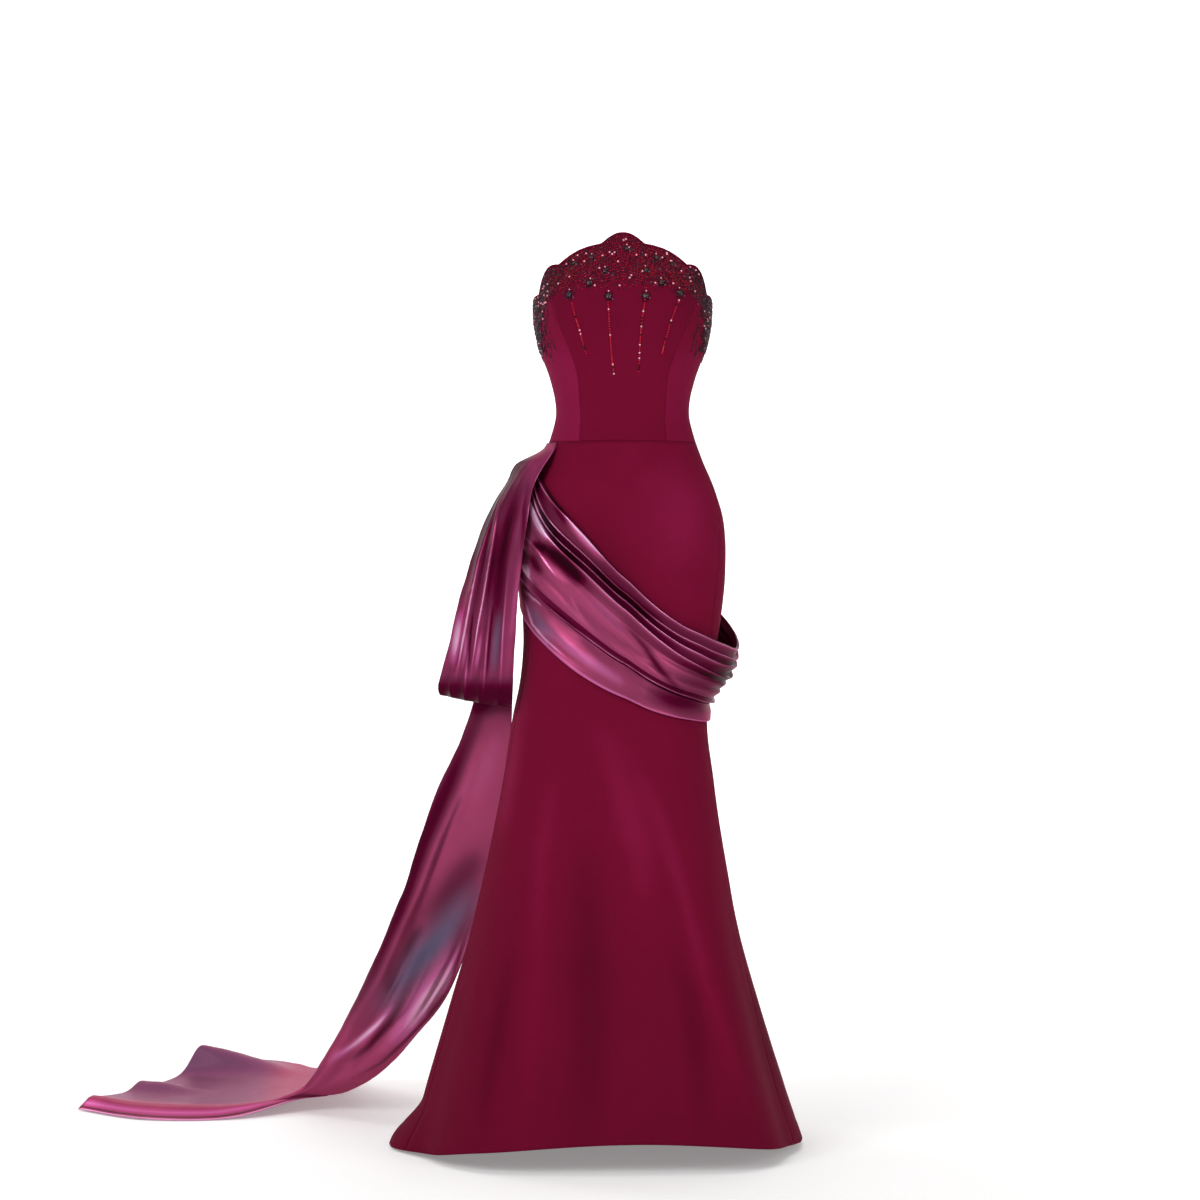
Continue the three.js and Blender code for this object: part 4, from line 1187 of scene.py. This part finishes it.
# The soft ridge down the outer side of the train.
TRAIN_EDGE_LINE = [
    (-226, -496), (-269, -622), (-305, -702), (-340, -792), (-381, -873), (-408, -936),
    (-466, -1030), (-506, -1106),
]
TRAIN_CREASES = {
    "front": [
        (9, 2.2, TRAIN_EDGE_LINE),
        (9, -2.6, [(-236, -540), (-268, -640), (-318, -760), (-360, -860)]),
        (3, 1.1, [(-262, -870), (-296, -940), (-330, -996), (-366, -1046)]),
        (3, -1.1, [(-274, -880), (-308, -950), (-344, -1010)]),
        (3, 1.1, [(-292, -900), (-330, -968), (-372, -1034)]),
        (2.5, -0.9, [(-300, -940), (-340, -1000), (-380, -1050)]),
        (3, 1.0, [(-346, -880), (-380, -950), (-420, -1020)]),
        (3, -1.0, [(-320, -900), (-352, -968), (-390, -1034)]),
        (2.5, 0.9, [(-366, -1000), (-398, -1040), (-436, -1076)]),
        (2.5, -0.9, [(-340, -990), (-376, -1034), (-412, -1070)]),
        (2.5, 0.8, [(-384, -1030), (-420, -1074), (-460, -1110)]),
    ],
    "ground": [
        (10, 3.0, [(-640, 420), (-720, 440), (-800, 470)]),
        (9, -2.4, [(-600, 500), (-680, 520), (-760, 560)]),
        (8, 2.0, [(-560, 560), (-620, 620), (-700, 660)]),
        (9, -2.0, [(-560, 700), (-620, 740), (-690, 790)]),
    ],
}
# Painted highlights (above 0) and painted shade (below 0) on the side folded to the front, placed
# as the creases are.
TRAIN_TONES = {
    "front": [
        (17, -0.54, [(-214, -410), (-240, -490), (-286, -600), (-336, -710), (-378, -830),
            (-428, -945), (-484, -1060)]),
        (7, 0.14, TRAIN_EDGE_LINE),
        (20, 0.04, [(-206, -514), (-228, -581), (-251, -649)]),
        (24, -0.34, [(-232, -716), (-264, -760), (-296, -804), (-336, -860)]),
        (9, -0.26, [(-330, -850), (-350, -873), (-372, -918)]),
        (22, 0.26, [(-252, -866), (-287, -926), (-332, -982), (-363, -1026), (-399, -1070)]),
        (3, -0.4, [(-246, -822), (-266, -874), (-284, -940), (-296, -966), (-330, -1012),
            (-370, -1056), (-414, -1100), (-466, -1132)]),
        (6, 0.3, [(-384, -990), (-420, -1032), (-460, -1068), (-504, -1100)]),
        (6, -0.5, [(-364, -968), (-396, -1024), (-436, -1072), (-470, -1100)]),
    ],
}
# Painted highlight and shade along the rolled edge on the ground: tone, share across the train,
# and spread.
TRAIN_ROLLED = [(0.18, 0.84, 0.06), (-0.5, 0.94, 0.014), (0.3, 0.99, 0.016)]
# The painted blue sheen where the train twists.
TRAIN_SHEEN = {
    "front": [
        (26, 0.95, [(-226, -776), (-262, -812), (-300, -862), (-345, -914), (-385, -968),
            (-425, -1020)]),
    ],
}
# Everything in the train faces the front as far back as this depth.
TRAIN_MIDDLE = np.array([0, 1000, 0])


def train_track(rows):
    """The smooth line through one of the train's three rows of places."""
    axes = [curve(TRAIN_STATIONS, [row[axis] for row in rows]) for axis in range(3)]
    return lambda row: np.stack([axis(row) for axis in axes], axis=-1)


TRAIN_EDGES = [train_track(rows) for rows in (TRAIN_FAR, TRAIN_FOLDED, TRAIN_NEAR)]


def train_sheet(u, v):
    """The plain sheet: straight from edge to fold to edge, and rounded over at the fold."""
    row = v * (len(TRAIN_STATIONS) - 1)
    far, fold, near = [edge(row) for edge in TRAIN_EDGES]
    before = (fold - far) / TRAIN_FOLD
    after = (near - fold) / (1 - TRAIN_FOLD)
    past = u - TRAIN_FOLD
    rounded = (past + TRAIN_ROLL) ** 2 / (4 * TRAIN_ROLL)
    turned = np.where(np.abs(past) < TRAIN_ROLL, rounded, np.maximum(0, past))
    place = far + before * u[..., None] + (after - before) * turned[..., None]
    share = np.maximum(0, u / TRAIN_FOLD)
    flatter = (fold[..., 2] - far[..., 2]) * (share ** TRAIN_LIE(row) - share)
    place[..., 2] += np.where(u < TRAIN_FOLD, flatter, 0)
    return seated(place, TRAIN_SEAT, u, TRAIN_FOLDED[0][2], TRAIN_SEAT["out"])


def train_place(u, v):
    """A place on the train, with its ridges and troughs."""
    step = 0.002
    across = train_sheet(u + step, v) - train_sheet(u - step, v)
    onward = train_sheet(u, v + step) - train_sheet(u, v - step)
    out = 0 * u
    for at, spread, height, start, full, gone in TRAIN_RIDGES:
        fade = 1 - ease(full, gone, v) if gone else 1
        out = out + height * bell(u - at, spread) * ease(start, full, v) * fade
    return train_sheet(u, v) + unit(np.cross(onward, across)) * out[..., None]


def make_train(gown):
    """The long satin panel that falls from behind the loop and trails out along the ground."""
    # The blue of the train's painted sheen.
    satin = satin_material(
        gown, "Plum satin, train", tuple(gown.train_colour), linear("#575670"),
    )

    def fine(points, u, v):
        free = ease(0, 0.12, v) * mix(1, 0.35, ease(-1165, -1185, points[..., 2]))
        swell = ripple(points, 31, 110, 0.8) + ripple(points, 32, 38, 0.35)
        return free * (crease_relief(points - TRAIN_MIDDLE, TRAIN_CREASES) + swell)

    def tones(points, u, v):
        # The side folded to the front, the part that lies on the ground, and its rolled edge.
        near = ease(0.56, 0.66, u)
        lying = ease(0.72, 0.82, v)
        placed = points - TRAIN_MIDDLE
        rolled = sum(tone * bell(u - at, spread) for tone, at, spread in TRAIN_ROLLED)
        # The loop's foot throws its shade on the train at this height.
        shade = 0.34 * near * bell(points[..., 2] + 474, 16)
        tone = 0.71 - shade + near * crease_relief(placed, TRAIN_TONES) + lying * rolled
        # The part on the ground, behind the fold, gets painted blue sheen as well.
        sheen = near * crease_relief(placed, TRAIN_SHEEN) + 0.6 * lying * (1 - near)
        return {"fold": np.clip(tone, 0, 1), "twist": np.clip(sheen, 0, 1)}

    piece = cloth(
        "train_satin", (170, 230), train_place, fine, gown.satin_cloth / MM, satin, tones,
    )
    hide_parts("train")


# Beading

# The four hanging strands, as distances from the centre line and heights.
STRANDS = [
    [(-81, 171), (-75, 147), (-70, 133), (-65, 114), (-57, 89)],
    [(-24, 176), (-21, 128), (-18, 89), (-14, 58)],
    [(35, 176), (30, 144), (27, 111), (25, 60)],
    [(89, 176), (76, 143), (66, 109), (62, 92)],
]


# The large stones, which beads go round: distance from the centre line, height and size.
STONES = [
    (6, 259, 9), (-50, 245, 10), (53, 245, 10), (-79, 237, 9), (78, 235, 9), (-28, 223, 10),
    (36, 224, 10), (-53, 203, 12), (61, 204, 12), (-86, 185, 14), (90, 188, 14), (-23, 182, 13),
    (36, 182, 13),
]


BEAD_BATCH = 48


def bead_batch(beads, size):
    """A mesh of a few dozen cut beads: each a place, a scale, a turn and a tone."""
    bm = bmesh.new()
    tone = bm.verts.layers.float.new("tone")
    for place, scale, turn, value in beads:
        matrix = Matrix.Translation(place * MM) @ turn @ Matrix.Diagonal((*scale, 1.0))
        made = bmesh.ops.create_icosphere(bm, subdivisions=1, radius=size, matrix=matrix)
        for vertex in made["verts"]:
            vertex[tone] = value
    return take_mesh(bm, "bead_batch")


def join_beads(name, beads, size, material):
    """One object of all the beads, put together from small batches."""
    bm = bmesh.new()
    bm.verts.layers.float.new("tone")
    for start in range(0, len(beads), BEAD_BATCH):
        batch = bead_batch(beads[start:start + BEAD_BATCH], size)
        bm.from_mesh(batch)
        bpy.data.meshes.remove(batch)
    finish_piece(add_object(name, take_mesh(bm, name)), material)


# The arcs that the rows of seed beads follow, and how low they reach, by the angle from the front.
BEAD_ARC = curves(("turn", "z"), [
    (0, 285), (20, 268), (42, 238), (67, 200), (104, 160), (120, 150),
])["z"]
BEAD_LOW = curves(("turn", "z"), [
    (0, 192), (30, 189), (48, 180), (62, 150), (74, 106), (100, 92), (120, 120),
])["z"]
BEAD_SEED = 17
# Between rows, in mm, and between the beads of a row, in degrees.
BEAD_PITCH = 2.35
BEAD_STEP = 0.96
# How many crystals and falls of bugles there are on each side, and beads round each stone.
SIDE_CRYSTALS = 330
BUGLE_FALLS = 34
RING_BEADS = 9
BUGLE_PITCH = 3.8
STRAND_PITCH = 3.1
# Where the tone of a bead begins: dark, wine, red, violet, grey and the pale pink of a painted
# glint.
DARK, WINE, RED, VIOLET, GREY, PAINTED_GLINT = 0.1, 0.55, 0.7, 0.8, 0.9, 0.97


# The odds that a bead is of a kind or of one above it here, in the middle and at the sides. Every
# other row is mostly dark.
BEAD_ODDS = {
    "painted_glint": (0.014, 0.018), "grey": (0.03, 0.055), "violet": (0.08, 0.26),
    "dark row": (0.76, 0.92), "red row": (0.12, 0.7), "red": (0.6, 0.8),
}


def bead_tone(rng, side, row):
    """The tone of a seed bead: red in the middle, and black, violet and grey towards the sides."""
    roll = rng.random()
    odds = {kind: mix(*ends, side) for kind, ends in BEAD_ODDS.items()}
    for kind, tone in (("painted_glint", PAINTED_GLINT), ("grey", GREY), ("violet", VIOLET)):
        if roll < odds[kind]:
            return tone
    if roll < odds["dark row" if row % 2 else "red row"]:
        return rng.uniform(DARK, 0.5)
    return RED if roll < odds["red"] else WINE


def make_beading(gown):
    """Seed beads in curved rows under the scallops, denser sides, ringed stones and strands."""
    glass = bead_material(gown)
    rng = random.Random(BEAD_SEED)
    size = gown.bead_size / 2
    places = []

    def sew(angle, z, tone, scale, out=0.6):
        """Place a bead, with one scale or three."""
        scale = scale if isinstance(scale, tuple) else (scale, scale, scale)
        places.append((angle, z, out, tone, scale))

    def front_place(x, z):
        return float(front_angle(np.array(x), np.array(z)))

    # Rows, from above the tallest scallop down, clipped to the edge and thinned out below.
    turns = np.arange(-112, 112, BEAD_STEP)
    tops = top_edge(turns) - 2.4
    arcs = BEAD_ARC(np.abs(turns))
    lows = BEAD_LOW(np.abs(turns))
    for row in range(-8, 52):
        for turn, top, arc, low in zip(turns, tops, arcs, lows):
            z = arc - row * BEAD_PITCH
            side = float(ease(24, 60, abs(turn)))
            keep = float(ease(low - 6, low + mix(26, 12, side), z))
            keep *= float(ease(114, 100, abs(turn)))
            if z > top or rng.random() > keep * 0.97:
                continue
            tone = bead_tone(rng, side, row)
            big = 1.6 if tone == PAINTED_GLINT else rng.uniform(0.85, 1.15)
            aside = BEAD_STEP * rng.uniform(-0.3, 0.3)
            sew(turn + aside, z + rng.uniform(-0.25, 0.25), tone, big)
    # Larger crystals down the two sides.
    for side in (-1, 1):
        for _ in range(SIDE_CRYSTALS):
            turn = side * rng.uniform(66, 104)
            z = rng.uniform(100, float(top_edge(turn)) - 3)
            tone = GREY if rng.random() < 0.07 else rng.uniform(DARK, 0.6)
            sew(turn, z, tone, rng.uniform(1.1, 1.5), 1.4)
    # Bugles in short falls below the field.
    for side in (-1, 1):
        for _ in range(BUGLE_FALLS):
            turn = side * rng.uniform(52, 72)
            z = rng.uniform(92, 170)
            for k in range(rng.randint(2, 4)):
                sew(turn, z - BUGLE_PITCH * k, rng.uniform(DARK, 0.5), (0.6, 0.6, 1.8))
    # A ring of dark beads round each stone, with a painted glint, a grey and a violet bead among
    # them.
    for x, z, across in STONES:
        for k in range(RING_BEADS):
            turn = math.tau * (k + rng.uniform(-0.2, 0.2)) / RING_BEADS
            reach = across / 2 + rng.uniform(0.6, 2.4)
            level = z + reach * math.cos(turn)
            tone = (PAINTED_GLINT, GREY, VIOLET)[k // 3] if k % 3 == 0 else rng.uniform(DARK, 0.28)
            sew(front_place(x + reach * math.sin(turn), level), level, tone, 1.25, 1.0)
    # The strands: red beads, with a painted glint or a dark crystal here and there.
    for strand in STRANDS:
        ends = np.array(strand, dtype=float)
        length = np.linalg.norm(np.diff(ends, axis=0), axis=1).sum()
        count = int(length / STRAND_PITCH)
        shares = np.linspace(0, 1, len(strand))
        for i in range(count):
            x = float(np.interp(i / count, shares, ends[:, 0]))
            z = float(np.interp(i / count, shares, ends[:, 1]))
            painted_glint = rng.random() < 0.1
            tone = PAINTED_GLINT if painted_glint else RED if rng.random() < 0.84 else DARK
            sew(front_place(x, z), z, tone, 1.55 if painted_glint else 1.5, 0.9)
    centres = layered(*[np.array([p[k] for p in places]) for k in range(3)])
    beads = []
    for centre, (_, _, _, tone, scale) in zip(centres, places):
        spin = Matrix.Rotation(rng.uniform(0, math.tau), 4, "Z")
        beads.append((Vector(centre), scale, spin, tone))
    join_beads("seed_beads", beads, size, glass)
    crystal = stone_material(gown)
    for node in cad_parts:
        if node.startswith("stone_"):
            dress(node, crystal)


def dress(node, material):
    """Give a node of the model its finish."""
    kept = bpy.data.objects[node]
    kept.data.materials.clear()
    kept.data.materials.append(material)


def make_zip(gown):
    """The enamelled slider and pull at the top of the centre back."""
    enamel = zip_material(gown)
    dress("zip_slider", enamel)
    dress("zip_pull", enamel)


# Stage

# Name, place, what it points at, width and height in metres, and its share of the key's power.
LIGHTS = [
    ("key", (-2.6, -3.6, 1.9), (-0.1, 0, -0.4), 2.2, 2.6, 1),
    ("fill", (3.2, -3.4, 0.6), (-0.1, 0, -0.4), 2.6, 2.6, 0.55),
    ("rim", (-2.6, 2.2, 1.2), (-0.1, 0, -0.4), 0.8, 2.4, 0.22),
    ("top", (0.4, 0.2, 3.4), (-0.1, 0, -0.4), 2.6, 2.6, 0.4),
    ("backdrop", (0, 2.6, 3.2), (0, 7.6, 0.6), 7, 1.6, 3.2),
]
# The view of the photo: 5 m in front, just below the middle of the gown, with a long lens.
CAMERA_PLACE = (-0.0367, -5.0, -0.3016)
CAMERA_LENS = 92.02
# The floor in metres: its width, where it starts in front, how far it runs in all, the radius of
# its bend and how far it rises. The bend lies between these shares of the way.
STUDIO = {"width": 24, "start": -9, "run": 22, "radius": 3, "rise": 40, "bend": (0.6, 0.85)}
# The hem and the train stay this far above the floor, in mm, so that no face lies on another.
FLOOR_BELOW = 1.5
# The paper is uneven over about this many millimetres.
PAPER_TOOTH = 1000 / 6


def make_stage(gown):
    """A pale floor that curves up behind, soft lights, and the camera."""
    material, tree = new_material("Matt white paper")
    if tree is not None:
        tooth = noise(tree, PAPER_TOOTH, 2.0)
        set_surface(tree, {
            "Base Color": ramp(tree, tooth, [(0.0, "#f2f1f0"), (1.0, "#f6f5f4")]),
            "Roughness": 0.9, "Specular IOR Level": 0.1, "Emission Color": linear("#ffffff"),
            "Emission Strength": 0.24,
        })
    bm = bmesh.new()
    bmesh.ops.create_grid(bm, x_segments=4, y_segments=60, size=0.5)
    low, high = STUDIO["bend"]
    for vertex in bm.verts:
        along = vertex.co.y + 0.5
        bend = min(max((along - low) / (high - low), 0), 1) * math.pi / 2
        y = STUDIO["start"] + STUDIO["run"] * min(along, low) + STUDIO["radius"] * math.sin(bend)
        z = STUDIO["radius"] * (1 - math.cos(bend)) + STUDIO["rise"] * max(0, along - high)
        vertex.co = (STUDIO["width"] * vertex.co.x, y, z + (FLOOR - FLOOR_BELOW) * MM)
    mesh = take_mesh(bm, "floor")
    mesh.materials.append(material)
    mesh.shade_smooth()
    add_object("floor", mesh)

    for name, spot, target, width, height, share in LIGHTS:
        light = bpy.data.lights.new(name, "AREA")
        light.shape = "RECTANGLE"
        light.size = width
        light.size_y = height
        light.energy = gown.light_power * share
        lamp = add_object(name, light)
        lamp.location = spot
        aim = Vector(target) - lamp.location
        lamp.rotation_euler = aim.to_track_quat("-Z", "Y").to_euler()

    scene = bpy.context.scene
    world = bpy.data.worlds.new("Studio")
    world.use_nodes = True
    surround = world.node_tree.nodes["Background"].inputs
    surround["Color"].default_value = linear("#f4f4f6")
    surround["Strength"].default_value = gown.world_strength
    scene.world = world
    scene.view_settings.view_transform = "Standard"

    camera = bpy.data.cameras.new("Camera")
    camera.sensor_width = 36
    camera.lens = CAMERA_LENS
    view = add_object("Camera", camera)
    view.location = CAMERA_PLACE
    view.rotation_euler = (math.pi / 2, 0, 0)
    scene.camera = view


# Add-on

class GownSettings(bpy.types.PropertyGroup):
    bodice_cloth: bpy.props.FloatProperty(
        name="Bodice cloth", description="Thickness of the interlined bodice crepe",
        default=2.0 * MM, min=0.5 * MM, max=4 * MM, subtype="DISTANCE", unit="LENGTH",
    )
    skirt_cloth: bpy.props.FloatProperty(
        name="Skirt cloth", description="Thickness of the lined skirt crepe",
        default=1.6 * MM, min=0.5 * MM, max=4 * MM, subtype="DISTANCE", unit="LENGTH",
    )
    satin_cloth: bpy.props.FloatProperty(
        name="Satin cloth", description="Thickness of the satin of the drape",
        default=1.3 * MM, min=0.5 * MM, max=3 * MM, subtype="DISTANCE", unit="LENGTH",
    )
    facing_depth: bpy.props.FloatProperty(
        name="Facing", description="How far the turned facing reaches below the top edge",
        default=3.2 * MM, min=1 * MM, max=10 * MM, subtype="DISTANCE", unit="LENGTH",
    )
    bead_size: bpy.props.FloatProperty(
        name="Seed bead", description="Diameter of a seed bead",
        default=2.1 * MM, min=1 * MM, max=4 * MM, subtype="DISTANCE", unit="LENGTH",
    )
    grain_strength: bpy.props.FloatProperty(
        name="Crepe grain", description="Strength of the pebbled grain of the crepe",
        default=0.35, min=0, max=1, subtype="FACTOR",
    )
    satin_roughness: bpy.props.FloatProperty(
        name="Satin roughness", description="How soft the highlights of the satin are",
        default=0.33, min=0.1, max=0.8, subtype="FACTOR",
    )
    crepe_colour: bpy.props.FloatVectorProperty(
        name="Crepe", description="Colour of the bodice and skirt",
        default=linear("#6f0b2d"), size=4, min=0, max=1, subtype="COLOR",
    )
    satin_colour: bpy.props.FloatVectorProperty(
        name="Sash satin", description="Colour of the sash",
        default=linear("#a04268"), size=4, min=0, max=1, subtype="COLOR",
    )
    loop_colour: bpy.props.FloatVectorProperty(
        name="Loop satin", description="Colour of the loop at the hip",
        default=linear("#983a64"), size=4, min=0, max=1, subtype="COLOR",
    )
    train_colour: bpy.props.FloatVectorProperty(
        name="Train satin", description="Colour of the train",
        default=linear("#a04166"), size=4, min=0, max=1, subtype="COLOR",
    )
    light_power: bpy.props.FloatProperty(
        name="Key light", description="Power of the main studio light",
        default=105, min=0, unit="POWER",
    )
    world_strength: bpy.props.FloatProperty(
        name="Surround", description="Strength of the even white surround",
        default=0.3, min=0, max=3,
    )


class GownOperator:
    bl_options = {"REGISTER", "UNDO"}

    def execute(self, context):
        self.make(context.scene.gown)
        return {"FINISHED"}


class GOWN_OT_bodice(GownOperator, bpy.types.Operator):
    """Make the five crepe panels of the bodice"""
    bl_idname = "gown.bodice"
    bl_label = "Bodice"
    make = staticmethod(make_bodice)


class GOWN_OT_neckline(GownOperator, bpy.types.Operator):
    """Make the facing that is turned over the scalloped top edge"""
    bl_idname = "gown.neckline"
    bl_label = "Neckline"
    make = staticmethod(make_neckline)


class GOWN_OT_skirt(GownOperator, bpy.types.Operator):
    """Make the three crepe panels of the skirt"""
    bl_idname = "gown.skirt"
    bl_label = "Skirt"
    make = staticmethod(make_skirt)


class GOWN_OT_sash(GownOperator, bpy.types.Operator):
    """Make the pleated satin sash round the hips"""
    bl_idname = "gown.sash"
    bl_label = "Sash"
    make = staticmethod(make_sash)


class GOWN_OT_loop(GownOperator, bpy.types.Operator):
    """Make the pleated satin loop at the hip"""
    bl_idname = "gown.loop"
    bl_label = "Loop"
    make = staticmethod(make_loop)


class GOWN_OT_train(GownOperator, bpy.types.Operator):
    """Make the satin train"""
    bl_idname = "gown.train"
    bl_label = "Train"
    make = staticmethod(make_train)


class GOWN_OT_beading(GownOperator, bpy.types.Operator):
    """Sew on the seed beads, the strands and the large stones"""
    bl_idname = "gown.beading"
    bl_label = "Beading"
    make = staticmethod(make_beading)


class GOWN_OT_zip(GownOperator, bpy.types.Operator):
    """Finish the slider and pull at the centre back"""
    bl_idname = "gown.zip"
    bl_label = "Zip"
    make = staticmethod(make_zip)


class GOWN_OT_stage(GownOperator, bpy.types.Operator):
    """Lay the floor and set the lights and the camera"""
    bl_idname = "gown.stage"
    bl_label = "Stage"
    make = staticmethod(make_stage)


OPERATORS = (
    GOWN_OT_stage, GOWN_OT_bodice, GOWN_OT_neckline, GOWN_OT_skirt, GOWN_OT_sash, GOWN_OT_loop,
    GOWN_OT_train, GOWN_OT_beading, GOWN_OT_zip,
)


class GOWN_PT_panel(bpy.types.Panel):
    """Sizes and colours of the gown, and a button for each group of pieces"""
    bl_idname = "GOWN_PT_panel"
    bl_label = "Evening Gown"
    bl_space_type = "VIEW_3D"
    bl_region_type = "UI"
    bl_category = "Gown"

    def draw(self, context):
        for name in GownSettings.__annotations__:
            self.layout.prop(context.scene.gown, name)
        for operator in OPERATORS:
            self.layout.operator(operator.bl_idname)


CLASSES = (GownSettings, *OPERATORS, GOWN_PT_panel)


def register():
    for item in CLASSES:
        bpy.utils.register_class(item)
    bpy.types.Scene.gown = bpy.props.PointerProperty(type=GownSettings)


def unregister():
    del bpy.types.Scene.gown
    for item in reversed(CLASSES):
        bpy.utils.unregister_class(item)


def main():
    register()
    bpy.ops.gown.stage()
    bpy.ops.gown.bodice()
    bpy.ops.gown.neckline()
    bpy.ops.gown.skirt()
    bpy.ops.gown.sash()
    bpy.ops.gown.loop()
    bpy.ops.gown.train()
    bpy.ops.gown.beading()
    bpy.ops.gown.zip()


if __name__ == "__main__":
    main()
